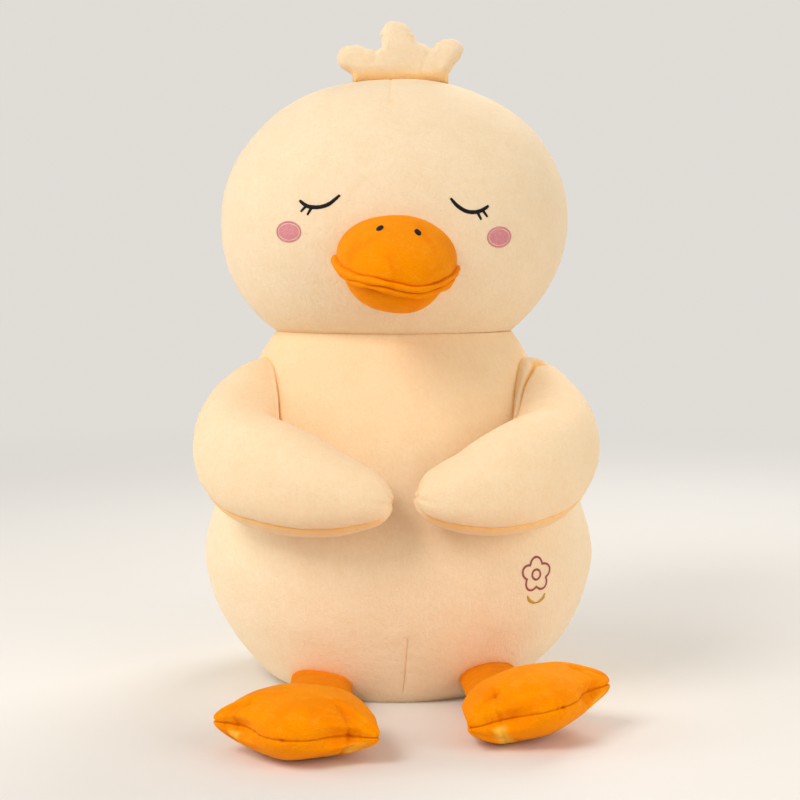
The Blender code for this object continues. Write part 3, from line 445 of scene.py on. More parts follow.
# Embroidery: places on the face as shares of half the head's width and height, from its middle
THREAD_RADIUS = 0.00024
THREAD_SPACING = 0.00038
THREAD_RISE = 0.0005
THREAD_STEPS = 6
THREAD_SIDES = 5
RAGGED_SHARE = 0.07
EYE_ARC_SHARES = {
    "left": ((-0.495, 0.13), (-0.466, 0.10), (-0.436, 0.086), (-0.384, 0.084), (-0.334, 0.104), (-0.281, 0.155)),
    "right": ((0.305, 0.118), (0.34, 0.07), (0.384, 0.037), (0.426, 0.029), (0.467, 0.039), (0.506, 0.068)),
}
EYE_LINE = 0.0035
EYE_TIP_SHARE = 0.55
EYE_TIP_POWER = 5
EYE_POINTS = 40
LASH_SHARES = {
    "left": (((-0.46, 0.094), (-0.49, 0.059)), ((-0.433, 0.08), (-0.455, 0.037))),
    "right": (((0.445, 0.031), (0.466, -0.018)), ((0.474, 0.042), (0.499, -0.001))),
}
LASH_LINE = 0.0029
LASH_TIP_SHARE = 0.6
LASH_POINTS = 14
CHEEK_PLACE_SHARES = {"left": (-0.561, -0.067), "right": (0.567, -0.133)}
CHEEK_WIDTH = 0.0266
CHEEK_HEIGHT = 0.0195
CHEEK_RIM = 0.0016
CHEEK_GAP = 0.0011
CHEEK_RIM_POINTS = 90
CHEEK_RAGGED_SHARE = 0.014
NOSTRIL_LENGTH = 0.0104
NOSTRIL_WIDTH = 0.0060
NOSTRIL_SIDE_SHARE = 0.30
NOSTRIL_LIFT = radians(58)
NOSTRIL_TURN = {"left": radians(-71), "right": radians(73)}
PATCH_POINTS = 40
PATCH_END_SHARE = 0.985

# Flower on the belly
FLOWER_RADIUS = 0.0165
FLOWER_CENTRE_RADIUS = 0.0048
FLOWER_PETALS = 5
FLOWER_PETAL_SHARE = 0.30
FLOWER_LINE = 0.0019
FLOWER_SIDE_SHARE = 0.665
FLOWER_HEIGHT_SHARE = 0.352
FLOWER_POINTS = 200
FLOWER_CENTRE_STEP = 5
SPRIG_HEIGHT = 0.008
SPRIG_LEAF = 0.0105
SPRIG_DROP = 0.0195
SPRIG_BEND_SHARES = (0.7, 0.35)
SPRIG_LINE_SHARES = (0.45, 1.15)
SPRIG_POINTS = 60

# Studio
FLOOR_REACH = 40.0
FLOOR_FADE = (0.5, 2.6)
FLOOR_GRAIN = 0.4
FLOOR_TONES = ((0.80, 0.775, 0.735), (0.82, 0.80, 0.765))
BACKDROP = (0.745, 0.72, 0.68)
GLOW = (1.0, 0.975, 0.94)
GLOW_STRENGTH = 0.42
# Lamps: place, size, watts and colour.
LAMPS = {
    "window": ((-1.5, -1.6, 2.1), 1.2, 38, (1.0, 0.975, 0.94)),
    "side": ((-2.1, -0.3, 0.9), 1.2, 14, (1.0, 0.985, 0.97)),
    "fill": ((1.9, -1.5, 0.9), 1.8, 25, (1.0, 0.95, 0.89)),
    "back": ((0.9, 1.6, 1.9), 1.4, 28, (1.0, 0.97, 0.94)),
}
LAMP_AIM = Vector((0, 0, 0.32))
CAMERA_PLACE = (0.003, -1.542, 0.406)
CAMERA_DIP_DEGREES = 4.82
CAMERA_LENS = 69.4
CAMERA_FILM = 36.0


# Numbers


def power(value, exponent):
    return np.sign(value) * np.abs(value) ** exponent


def oval(angles, roundness):
    """A superellipse of half sizes 1: its two coordinates at these angles."""
    return power(np.cos(angles), 2 / roundness), power(np.sin(angles), 2 / roundness)


def spline(rows, places, closed=False):
    """Rows of numbers read from a smooth curve through the given rows, at places from 0 to 1."""
    rows = np.asarray(rows, float)
    spans = len(rows) if closed else len(rows) - 1
    spot = np.asarray(places, float) * spans
    first = np.clip(spot.astype(int), 0, spans - 1)
    share = (spot - first)[..., None]
    picked = [first + step for step in (-1, 0, 1, 2)]
    picked = [i % len(rows) if closed else np.clip(i, 0, len(rows) - 1) for i in picked]
    before, here, there, after = (rows[i] for i in picked)
    slope = (there - before) / 2
    next_slope = (after - here) / 2
    bend = 3 * (there - here) - 2 * slope - next_slope
    rest = 2 * (here - there) + slope + next_slope
    return here + share * (slope + share * (bend + share * rest))


def graded(count, dense, gain, spread, closed=False):
    """Values from 0 to 1 that lie closer together near the dense places."""
    fine = np.linspace(0, 1, 20 * count)
    weight = np.ones_like(fine)
    for place in dense:
        away = np.abs(fine - place)
        if closed:
            away = np.minimum(away, 1 - away)
        weight += gain * np.exp(-(away / spread) ** 2)
    total = np.concatenate([[0], np.cumsum((weight[1:] + weight[:-1]) / 2)])
    steps = np.arange(count) / (count if closed else count - 1)
    return np.interp(steps, total / total[-1], fine)


def smooth_step(value, start, end):
    share = np.clip((value - start) / (end - start), 0, 1)
    return share * share * (3 - 2 * share)


def bell(value, width):
    return np.exp(-(value / width) ** 2)


def unit(vectors):
    return vectors / np.maximum(np.linalg.norm(vectors, axis=-1, keepdims=True), 1e-12)


def lumps(points, size, seed):
    """A smooth random field of about -1 to 1, with lumps of this size."""
    draw = np.random.default_rng(seed)
    turns = unit(draw.normal(size=(WAVES, 3))) * (pi / (size * draw.uniform(*WAVE_SPREAD, (WAVES, 1))))
    return np.sin(points @ turns.T + draw.uniform(0, 2 * pi, WAVES)).sum(-1) / sqrt(WAVES)


def grid_normals(points):
    """Outward normals of a grid whose rows go up or along and whose columns go round."""
    across = np.roll(points, -1, 1) - np.roll(points, 1, 1)
    normals = unit(np.cross(across, np.gradient(points, axis=0)))
    middle = points.mean(axis=1, keepdims=True)
    facing = np.sum(normals * (points - middle))
    return normals if facing > 0 else -normals


def moved(points, matrix):
    turn = np.array(matrix)
    return points @ turn[:3, :3].T + turn[:3, 3]


class Cloth:
    """A stuffed cloth form as a grid of points, with how deep each point lies in a seam or a fold, kept as its painted
    shading.
    """

    def __init__(self, points, normals=None):
        self.points = points
        self.normals = grid_normals(points) if normals is None else normals
        self.painted_shading = np.zeros(points.shape[:-1])
        self.pale = np.zeros(points.shape[:-1])

    def push(self, depth):
        """Moves the surface out by this much, or in where it is negative."""
        self.points = self.points + self.normals * depth[..., None]

    def paint_shading(self, tone):
        """Gives the surface at least this much painted shading: the deeper tone that stands in for shade in seams,
        folds and contacts, and for light thrown between pieces.
        """
        self.painted_shading = np.maximum(self.painted_shading, tone)

    def swell(self, lump_rows, seeds, share=1.0):
        """Random lumps: rows of height and size, a seed for each row, and how much of them shows."""
        rise = sum(high * lumps(self.points, size, seed) for (high, size), seed in zip(lump_rows, seeds))
        self.push(rise * share)

    def seam(
        self, away, along, seed, extent=1.0, depth=SEAM_DEPTH, pucker=SEAM_PUCKER, width=SEAM_WIDTH, tone=SEAM_TONE
    ):
        """A sewn line: the distance from it, the distance run along it, and where it exists."""
        count = len(SEAM_PUCKER_SIZES)
        shift = np.random.default_rng(seed).uniform(0, 2 * pi, count)
        wave = sum(np.sin(2 * pi * along / size + turn) for size, turn in zip(SEAM_PUCKER_SIZES, shift)) / count
        pull = SEAM_PULL * np.exp(-np.abs(away) / SEAM_PULL_WIDTH) * (1 + pucker * wave)
        line = bell(away, width)
        self.push(-(depth * line + pull) * extent)
        # The line's tone: partly the seam's own line, partly painted shade in its groove.
        self.paint_shading(tone * line * extent)

    def tuck(self, away, along, depth, width, length):
        """A short dent that runs off a seam: the distance beside it, and the distance out from the seam."""
        dent = bell(away, width) * np.exp(-np.abs(along) / length)
        self.push(-depth * dent)
        # Painted shade in the dent.
        self.paint_shading(TUCK_SHADE * dent)

    def mesh(self, name, low_pole=None, high_pole=None):
        rows, columns = self.points.shape[:2]
        index = np.arange(rows * columns).reshape(rows, columns)
        beside = np.roll(index, -1, 1)
        quads = np.stack([index[:-1], beside[:-1], beside[1:], index[1:]], -1).reshape(-1, 4)
        faces = quads.tolist()
        points = self.points.reshape(-1, 3).tolist()
        tones = {"painted_shading": self.painted_shading, "pale": self.pale}
        values = {key: tone.reshape(-1).tolist() for key, tone in tones.items()}
        for pole, row in ((low_pole, 0), (high_pole, -1)):
            if pole is None:
                pole = self.points[row].mean(axis=0)
            faces += [(a, b, len(points)) for a, b in zip(index[row].tolist(), beside[row].tolist())]
            points.append(list(pole))
            for key, tone in tones.items():
                values[key].append(float(tone[row].mean()))
        return solid(name, points, faces, values)


def put(name, data):
    """An object of this data, at the origin of the scene."""
    made = bpy.data.objects.new(name, data)
    bpy.context.scene.collection.objects.link(made)
    return made


def solid(name, points, faces, values=()):
    """An object with smooth, outward faces and named values at its points."""
    mesh = bpy.data.meshes.new(name)
    mesh.from_pydata(points, [], faces)
    form = bmesh.new()
    form.from_mesh(mesh)
    bmesh.ops.recalc_face_normals(form, faces=form.faces)
    form.to_mesh(mesh)
    form.free()
    for key, numbers in dict(values).items():
        mesh.attributes.new(key, "FLOAT", "POINT").data.foreach_set("value", numbers)
    mesh.shade_smooth()
    return put(name, mesh)


# Finishes


class Link:
    """An output of a finish's nodes. Sums written on it become Math nodes."""

    def __init__(self, finish, socket):
        self.finish = finish
        self.socket = socket

    def sum_of(self, operation, first, second):
        return self.finish.node("Math", {"operation": operation}, {0: first, 1: second})

    def __add__(self, other):
        return self.sum_of("ADD", self, other)

    def __radd__(self, other):
        return self.sum_of("ADD", other, self)

    def __sub__(self, other):
        return self.sum_of("SUBTRACT", self, other)

    def __rsub__(self, other):
        return self.sum_of("SUBTRACT", other, self)

    def __mul__(self, other):
        return self.sum_of("MULTIPLY", self, other)

    def __rmul__(self, other):
        return self.sum_of("MULTIPLY", other, self)


class Finish:
    """A material under construction, on one Principled shader."""

    def __init__(self, name, values):
        self.material = bpy.data.materials.new(name)
        self.material.use_nodes = True
        self.tree = self.material.node_tree
        self.shader = self.tree.nodes["Principled BSDF"]
        for key, value in values.items():
            self.shader.inputs[key].default_value = value

    def node(self, kind, settings=(), inputs=(), output=0):
        made = self.tree.nodes.new("ShaderNode" + kind)
        for key, value in dict(settings).items():
            setattr(made, key, value)
        for key, value in dict(inputs).items():
            if isinstance(value, Link):
                self.tree.links.new(value.socket, made.inputs[key])
            else:
                made.inputs[key].default_value = value
        return Link(self, made.outputs[output])

    def place(self, stretch=(1, 1, 1)):
        """The point's own place in the piece, stretched where a pattern runs one way."""
        spot = self.node("TexCoord", output="Object")
        return self.node("Mapping", {}, {"Vector": spot, "Scale": stretch})

    def noise(self, size, detail=2.0, uneven=0.0, stretch=(1, 1, 1)):
        inputs = {"Vector": self.place(stretch), "Scale": 1 / size, "Detail": detail, "Distortion": uneven}
        return self.node("TexNoise", {}, inputs)

    def steps(self, value, low, high):
        """0 below low, 1 above high, and smooth between them."""
        settings = {"interpolation_type": "SMOOTHSTEP"}
        return self.node("MapRange", settings, {"Value": value, "From Min": low, "From Max": high})

    def mix(self, share, first, second):
        first, second = (c if isinstance(c, Link) else (*c, 1) for c in (first, second))
        return self.node("Mix", {"data_type": "RGBA"}, {0: share, 6: first, 7: second}, output=2)

    def feed(self, key, link):
        self.tree.links.new(link.socket, self.shader.inputs[key])

    def bump(self, height, depth, strength=1.0):
        inputs = {"Height": height, "Distance": depth, "Strength": strength}
        self.feed("Normal", self.node("Bump", {}, inputs, output="Normal"))


def plush_finish(name, pale, warm, deep):
    """Short-pile plush: fine fibres, a nap that leans in patches, and a deeper tone in seams, partly their own line
    and partly painted shade, with painted shade in folds and contacts too.
    """
    finish = Finish(name, {
        "Roughness": 0.86, "Sheen Weight": 0.22, "Sheen Roughness": 0.5, "Sheen Tint": (1.0, 0.95, 0.88, 1),
        "Subsurface Weight": 0.12, "Subsurface Scale": 0.008, "Subsurface Radius": (1.0, 0.55, 0.3),
        "Specular IOR Level": 0.2,
    })
    pile = finish.noise(0.0013, 3.0)
    brushed = finish.noise(0.0034, 3.0, 0.4, (1.0, 1.0, 0.6))
    nap = finish.noise(0.024, 2.0, 0.5)
    tone = finish.steps(nap, 0.34, 0.68) * 0.26 + finish.steps(pile, 0.32, 0.68) * 0.4
    tone = tone + finish.steps(brushed, 0.36, 0.66) * 0.3
    painted_shading = finish.node("Attribute", {"attribute_name": "painted_shading"}, output="Fac")
    colour = finish.mix(tone, pale, warm)
    # The deep colour is painted shading, mixed in by the attribute that holds it.
    finish.feed("Base Color", finish.mix(finish.steps(painted_shading, 0.04, 1.05), colour, deep))
    finish.feed("Roughness", 0.8 + 0.15 * nap)
    finish.bump(pile * 0.7 + brushed * 0.8 + nap * 0.25, 0.0016, 0.6)
    return finish.material


def velvet_finish(name, bright, plain, shaded, deep):
    """Velvet: even, with a fine pile, a soft change of tone where it was stroked, and pale crushed streaks."""
    finish = Finish(name, {
        "Roughness": 0.72, "Sheen Weight": 0.28, "Sheen Roughness": 0.35, "Sheen Tint": (1.0, 0.58, 0.06, 1),
        "Subsurface Weight": 0.05, "Subsurface Scale": 0.004, "Subsurface Radius": (1.0, 0.4, 0.05),
        "Specular IOR Level": 0.12, "Specular Tint": (1.0, 0.6, 0.12, 1),
    })
    pile = finish.noise(0.0013, 3.0)
    swirl = finish.noise(0.036, 2.0, 0.8)
    stroke = finish.noise(0.009, 2.0, 0.8, (1.0, 1.0, 2.2))
    crushed = finish.node("Attribute", {"attribute_name": "pale"}, output="Fac")
    painted_shading = finish.node("Attribute", {"attribute_name": "painted_shading"}, output="Fac")
    colour = finish.mix(finish.steps(swirl, 0.42, 0.68) * 0.7, plain, shaded)
    colour = finish.mix(finish.steps(stroke, 0.5, 0.74) * 0.16, colour, bright)
    colour = finish.mix(finish.steps(pile, 0.38, 0.62) * 0.5, colour, shaded)
    colour = finish.mix(finish.steps(crushed * (0.6 + stroke * 0.8), 0.1, 0.8) * 0.95, colour, bright)
    # The deep colour is painted shade in seams, folds and contacts.
    finish.feed("Base Color", finish.mix(finish.steps(painted_shading, 0.15, 1.0) * 0.85, colour, deep))
    finish.feed("Roughness", 0.64 + 0.16 * swirl)
    finish.bump(pile * 0.8 + stroke * 0.4, 0.0014, 0.55)
    return finish.material


def thread_finish(name, plain, lit, shine=0.3):
    """Twisted satin thread, with a slight change of tone from stitch to stitch."""
    finish = Finish(name, {
        "Roughness": 0.46, "Sheen Weight": 0.04, "Sheen Roughness": 0.4, "Specular IOR Level": shine,
    })
    twist = finish.noise(0.0005, 1.0)
    tone = finish.noise(0.0022, 2.0)
    finish.feed("Base Color", finish.mix(finish.steps(tone * 0.6 + twist * 0.4, 0.35, 0.65), plain, lit))
    finish.feed("Roughness", 0.36 + 0.16 * twist)
    finish.bump(twist, 0.0002, 0.5)
    return finish.material


def ribbon_finish():
    """Woven white satin ribbon."""
    finish = Finish("white_ribbon", {"Roughness": 0.5, "Sheen Weight": 0.1, "Specular IOR Level": 0.4})
    weave = finish.noise(0.0006, 1.0, 0.0, (1.0, 3.0, 1.0))
    finish.feed("Base Color", finish.mix(finish.steps(weave, 0.3, 0.7), (0.88, 0.87, 0.84), (0.78, 0.77, 0.74)))
    finish.feed("Roughness", 0.42 + 0.2 * weave)
    finish.bump(weave, 0.0002, 0.4)
    return finish.material


# Each cloth finish's last colour is its painted shade, for seams, folds and contacts.
PLUSH = plush_finish("cream_plush", (0.955, 0.775, 0.545), (0.905, 0.69, 0.435), (1.0, 0.50, 0.04))
VELVET = velvet_finish(
    "orange_velvet", (1.0, 0.55, 0.07), (0.96, 0.30, 0.0), (0.90, 0.225, 0.0), (0.46, 0.075, 0.0)
)
BLACK_THREAD = thread_finish("black_thread", (0.005, 0.004, 0.007), (0.016, 0.014, 0.02), 0.12)
CHEEK_THREAD = thread_finish("cheek_thread", (0.70, 0.26, 0.29), (0.78, 0.34, 0.37))
ROSE_THREAD = thread_finish("rose_thread", (0.36, 0.085, 0.085), (0.46, 0.13, 0.12))
OCHRE_THREAD = thread_finish("ochre_thread", (0.56, 0.33, 0.03), (0.68, 0.44, 0.06))
RIBBON = ribbon_finish()


def dress(made, finish, slot, *nodes, fill=None):
    """Gives a piece its finish and hides the frame's nodes that it stands for; its slot in the record is not used."""
    made.data.materials.clear()
    made.data.materials.append(finish)
    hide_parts(*nodes)


# Body


def belly_middle(height):
    """The body's middle leans a little, from the belly up to the neck and down to the seat."""
    widest = max(BODY_OUTLINE_SHARES, key=lambda row: row[1])[0] * NECK_HEIGHT
    below = BODY_SHIFT + (SEAT_SHIFT - BODY_SHIFT) * np.maximum(1 - height / widest, 0) ** 3
    above = BODY_SHIFT + (NECK_MIDDLE - BODY_SHIFT) * (height - widest) / (NECK_HEIGHT - widest)
    return np.where(height < widest, below, above)


def body_points(places, angles):
    height_share, width_share, depth_share = spline(BODY_OUTLINE_SHARES, places).T
    height = height_share * NECK_HEIGHT
    side, depth = oval(angles, BODY_ROUNDNESS)
    return np.stack([
        belly_middle(height)[:, None] + np.outer(width_share * BODY.x / 2, side),
        np.outer(depth_share * BODY.y / 2, depth),
        np.outer(height, np.ones_like(angles)),
    ], -1)


def body_surface(side, height, back=False):
    """The point of the body's front or back that is this far to the side of its middle."""
    rows = spline(BODY_OUTLINE_SHARES, np.linspace(0, 1, BODY_ROWS))
    share = height / NECK_HEIGHT
    half_width = np.interp(share, rows[:, 0], rows[:, 1]) * BODY.x / 2
    half_depth = np.interp(share, rows[:, 0], rows[:, 2]) * BODY.y / 2
    depth = half_depth * (1 - abs(side / half_width) ** BODY_ROUNDNESS) ** (1 / BODY_ROUNDNESS)
    return Vector((float(belly_middle(height)) + side, depth if back else -depth, height))


def neck_ring(angles):
    """The seam between the body and the head."""
    side, depth = oval(angles, BODY_ROUNDNESS)
    return np.stack([
        NECK_MIDDLE + NECK_SEAM_SHARE * BODY.x / 2 * side,
        NECK_SEAM_SHARE * BODY.y / 2 * depth,
        np.full_like(angles, NECK_HEIGHT),
    ], -1)


def neck_tucks(cloth, angles, gap, seed):
    """Small gathers along one side of the neck's seam, and three deeper ones in front."""
    draw = np.random.default_rng(seed)
    places = np.linspace(0, 2 * pi, NECK_TUCKS, endpoint=False)
    places = places + draw.uniform(-NECK_TUCK_SHIFT, NECK_TUCK_SHIFT, NECK_TUCKS)
    strengths = draw.uniform(*NECK_TUCK_STRENGTHS, NECK_TUCKS)
    half = NECK_SEAM_SHARE * BODY.x / 2
    front = [(-pi / 2 + asin(side / half), strength) for side, strength in NECK_FRONT_TUCKS]
    for place, strength in [*zip(places, strengths), *front]:
        away = turn_from(angles, place)[None, :] * half
        cloth.tuck(away, gap, NECK_TUCK_DEPTH * strength, NECK_TUCK_WIDTH, NECK_TUCK_LENGTH)


def turn_from(angles, place):
    return (angles - place + pi) % (2 * pi) - pi


def round_places(count, seed):
    """Angles spread round a ring, each shifted a little at random."""
    return np.arange(count) * 2 * pi / count + np.random.default_rng(seed).uniform(-TUCK_SHIFT, TUCK_SHIFT, count)


def long_seams(cloth, angles, reach, height, shown, seed):
    """The seams up a cloth's two sides and its back: the distance from its middle, and where they exist."""
    for number, angle in enumerate((0, pi, pi / 2)):
        away = turn_from(angles, angle)[None, :] * reach
        cloth.seam(away, height, seed + number, shown, LONG_SEAM_DEPTH)


def sew_neck(cloth, angles, gap, row, piece):
    """Gathers and pinches a cloth at the neck's seam, and brings its row there onto the neck's ring."""
    neck_tucks(cloth, angles, gap, SEEDS[f"{piece} neck"])
    gap = np.maximum(gap, 0)
    pinch = np.exp(-gap / NECK_PINCH_REACH)
    cloth.push(-NECK_PINCH_DEPTH * pinch)
    # Painted shade in the pinch.
    cloth.paint_shading(NECK_PINCH_SHADE * pinch)
    near = np.exp(-gap / NECK_JOIN[piece])[..., None]
    cloth.points = cloth.points + near * (neck_ring(angles) - cloth.points[row])


def build_body():
    front = -pi / 2 + asin(BELLY_DART_SIDE / (BODY.x / 2))
    seams = [(angle / (2 * pi)) % 1 for angle in (front, 0, pi / 2, pi)]
    angles = 2 * pi * graded(BODY_COLUMNS, seams, *SEAM_GRADING, closed=True)
    places = graded(BODY_ROWS, (0.0, 1.0), *BODY_END_GRADING)
    cloth = Cloth(body_points(places, angles))
    points = cloth.points
    side, height = points[..., 0], points[..., 2]
    ahead, behind = points[..., 1] < 0, points[..., 1] > 0
    reach = np.linalg.norm(points[..., :2] - [NECK_MIDDLE, 0], axis=-1)
    fall = NECK_HEIGHT - height
    soft = smooth_step(height, *SEAT_CALM) * smooth_step(fall, 0, NECK_CALM)
    cloth.swell(BODY_LUMPS, SEEDS["body lumps"], soft)
    chest = bell(side - CHEST_MIDDLE[0], CHEST_REACH[0]) * bell(height - CHEST_MIDDLE[1], CHEST_REACH[1]) * ahead
    cloth.push(CHEST_SWELL * chest)

    dart = smooth_step(height, *BELLY_DART_START)
    dart = dart * (1 - smooth_step(height, BELLY_DART_TOP - BELLY_DART_FADE, BELLY_DART_TOP))
    away = turn_from(angles, front)[None, :] * reach
    cloth.seam(away, height, SEEDS["belly dart"], dart, width=BELLY_DART_WIDTH, tone=BELLY_DART_TONE)
    long_seams(cloth, angles, reach, height, smooth_step(height, *BODY_SEAM_START), SEEDS["body seams"])
    # The seam in the back that closes the opening for the stuffing, with the care label in it.
    aside = np.abs(side - LABEL_SIDE_SHARE * BODY.x / 2)
    closed = (1 - smooth_step(aside, CLOSING_LENGTH / 2 - CLOSING_FADE, CLOSING_LENGTH / 2)) * behind
    off = height - LABEL_HEIGHT_SHARE * NECK_HEIGHT
    cloth.seam(off, side, SEEDS["closing seam"], closed, CLOSING_DEPTH, CLOSING_PUCKER, CLOSING_WIDTH)

    line = NECK_HEIGHT - CHIN_FOLD_DROP - CHIN_FOLD_WAVE * np.sin(side * CHIN_FOLD_BENDS)
    fold = bell(height - line, CHIN_FOLD_WIDTH) * bell(side - CHIN_FOLD_SIDE, CHIN_FOLD_REACH) * ahead
    cloth.push(-CHIN_FOLD_DEPTH * fold)
    sew_neck(cloth, angles, fall, -1, "body")
    cloth.paint_shading(HUG_TONE["chest"] * smooth_step(height, *HUG_HEIGHT))
    cloth.points[..., 2] = np.maximum(cloth.points[..., 2], 0)

    seat_middle = np.array([float(belly_middle(0)), 0, 0])
    seat_shares = np.linspace(*SEAT_RING_SHARES, SEAT_RINGS)[:, None, None]
    seat = seat_middle + (cloth.points[:1] - seat_middle) * seat_shares
    cloth.points = np.concatenate([seat, cloth.points])
    cloth.painted_shading = np.concatenate([np.zeros(seat.shape[:2]), cloth.painted_shading])
    cloth.pale = np.zeros_like(cloth.painted_shading)
    neck = (NECK_MIDDLE, 0, NECK_HEIGHT)
    made = cloth.mesh("plush_body", seat_middle, neck)
    dress(made, PLUSH, "cream_plush", "body_cover", "body_stuffing", fill=0.85)
    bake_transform(made)
    return made


# Head


def head_place():
    middle = Vector((NECK_MIDDLE, 0, NECK_HEIGHT + HEAD_RISE))
    return Matrix.Translation(middle) @ Matrix.Rotation(HEAD_ROLL, 4, "Y")


def head_surface(side_share, height_share):
    """A point on the front of the head, in its own frame."""
    level = max(0.0, 1 - abs(height_share) ** HEAD_ROUNDNESS) ** (1 / HEAD_ROUNDNESS)
    depth = max(0.0, 1 - abs(side_share / level) ** HEAD_ROUNDNESS) ** (1 / HEAD_ROUNDNESS)
    return Vector((side_share * HEAD_WIDTH / 2, -HEAD_DEPTH / 2 * level * depth, height_share * HEAD_HEIGHT / 2))


def build_head():
    drop_share = HEAD_RISE / (HEAD_HEIGHT / 2)
    lowest = -asin(drop_share ** (HEAD_ROUNDNESS / 2))
    places = graded(HEAD_ROWS, (0.0,), *HEAD_NECK_GRADING)
    levels = (lowest + (pi / 2 - lowest) * places)[:-1]
    angles = 2 * pi * graded(HEAD_COLUMNS, (0.0, 0.25, 0.5, 0.75), *SEAM_GRADING, closed=True)
    ring, rise = oval(levels, HEAD_ROUNDNESS)
    side, depth = oval(angles, HEAD_ROUNDNESS)
    points = np.stack([
        np.outer(ring * HEAD_WIDTH / 2, side), np.outer(ring * HEAD_DEPTH / 2, depth),
        np.outer(rise * HEAD_HEIGHT / 2, np.ones_like(angles)),
    ], -1)
    cloth = Cloth(moved(points, head_place()))
    points = cloth.points
    ahead, height = -points[..., 1], points[..., 2]
    climb = height - NECK_HEIGHT
    top = NECK_HEIGHT + HEAD_RISE + HEAD_HEIGHT / 2
    reach = np.linalg.norm(points[..., :2] - [NECK_MIDDLE, 0], axis=-1)
    cloth.swell(HEAD_LUMPS, SEEDS["head lumps"], smooth_step(climb, 0, NECK_CALM))

    dart = smooth_step(height, *(top - drop for drop in HEAD_DART_DROP))
    dart = dart * (1 - smooth_step(ahead, HEAD_DART_FRONT - HEAD_DART_FADE, HEAD_DART_FRONT))
    away = turn_from(angles, -pi / 2)[None, :] * reach
    cloth.seam(away, ahead, SEEDS["head dart"], HEAD_DART_STRENGTH * dart, LONG_SEAM_DEPTH, width=HEAD_DART_WIDTH)
    cloth.tuck(away, ahead - HEAD_DART_FRONT, **HEAD_DIMPLE)
    long_seams(cloth, angles, reach, height, smooth_step(top - height, *HEAD_SEAM_END), SEEDS["head seams"])
    sew_neck(cloth, angles, climb, 0, "head")
    made = cloth.mesh("plush_head", (NECK_MIDDLE, 0, NECK_HEIGHT), head_place() @ Vector((0, 0, HEAD_HEIGHT / 2)))
    dress(made, PLUSH, "cream_plush", "head_cover", "head_stuffing", fill=0.9)
    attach(made, "head")
    return made


# Crest


def smooth_depth(points, outline):
    """How far each point lies inside a closed outline, without ridges between its lobes."""
    ahead = np.roll(outline, -1, 0)
    middles = (outline + ahead) / 2
    lengths = np.linalg.norm(ahead - outline, axis=1)
    flat = points.reshape(-1, 2)
    gap = np.linalg.norm(flat[:, None, :] - middles[None], axis=2)
    total = (lengths / np.maximum(gap, 1e-5) ** 3).sum(1)
    return (sqrt(2) / np.sqrt(total)).reshape(points.shape[:-1])


def filled(outline, spacing, edge_rows):
    """Points and triangles that fill an outline, which runs anticlockwise, finer along its edge."""
    ahead = np.roll(outline, -1, 0)
    way = unit(ahead - np.roll(outline, 1, 0))
    inward = np.stack([-way[:, 1], way[:, 0]], -1)

    def edge_gap(points):
        span = ahead - outline
        offset = points[:, None] - outline[None]
        share = np.clip((offset * span).sum(-1) / (span ** 2).sum(-1), 0, 1)
        return np.linalg.norm(offset - share[..., None] * span, axis=-1).min(1)

    low, high = outline.min(0), outline.max(0)
    rows = np.arange(low[1], high[1], spacing * TRIANGLE_HEIGHT)
    across, up = np.meshgrid(np.arange(low[0], high[0], spacing), rows)
    across[1::2] += spacing / 2
    grid = np.stack([across.ravel(), up.ravel()], -1)
    crossing = (outline[:, 1] > grid[:, None, 1]) != (ahead[:, 1] > grid[:, None, 1])
    slope = (ahead[:, 0] - outline[:, 0]) / np.where(ahead[:, 1] == outline[:, 1], 1.0, ahead[:, 1] - outline[:, 1])
    beyond = grid[:, None, 0] < outline[:, 0] + slope * (grid[:, None, 1] - outline[:, 1])
    grid = grid[(crossing & beyond).sum(1) % 2 == 1]
    picked = [outline, grid[edge_gap(grid) > edge_rows[-1] + spacing / 2]]
    for depth in edge_rows:
        row = outline + inward * depth
        picked.append(row[edge_gap(row) > CREST_EDGE_ROW_SHARE * depth])
    loose = [Vector(point) for point in np.concatenate(picked)]
    points, _, faces, _, _, _ = delaunay_2d_cdt(loose, [], [list(range(len(outline)))], 1, 1e-7)
    return np.array([tuple(point) for point in points]), np.array(faces), edge_gap


def pillow(outline, half, spacing, edge_rows, full_share):
    """Two cloth shapes sewn together along an outline and stuffed: points, faces and outward ways."""
    flat, faces, edge_gap = filled(outline, spacing, edge_rows)
    inside = smooth_depth(flat, outline)
    rim = edge_gap(flat) < 1e-6
    depth = np.minimum(np.where(rim, 0, inside) / (full_share * inside.max()), 1)
    height = half * np.sqrt(1 - (1 - depth) ** 2)
    count = len(flat)
    other = np.where(rim, np.arange(count), 0)
    other[~rim] = count + np.arange((~rim).sum())
    points = np.concatenate([
        np.column_stack([flat[:, 0], height, flat[:, 1]]),
        np.column_stack([flat[:, 0], -height, flat[:, 1]])[~rim],
    ])
    faces = np.concatenate([faces[:, ::-1], other[faces]])
    corners = points[faces]
    flow = np.cross(corners[:, 1] - corners[:, 0], corners[:, 2] - corners[:, 0])
    normals = np.zeros_like(points)
    for corner in range(3):
        np.add.at(normals, faces[:, corner], flow)
    normals = unit(normals)
    if np.sum(normals[:, 1] * points[:, 1]) < 0:
        normals = -normals
    return points, faces, normals


def crest_foot():
    """The point of the head's top that the crest stands on."""
    share = CREST_FORWARD / (HEAD_DEPTH / 2)
    rise = HEAD_HEIGHT / 2 * (1 - share ** HEAD_ROUNDNESS) ** (1 / HEAD_ROUNDNESS)
    return head_place() @ Vector((CREST_SHIFT, -CREST_FORWARD, rise))


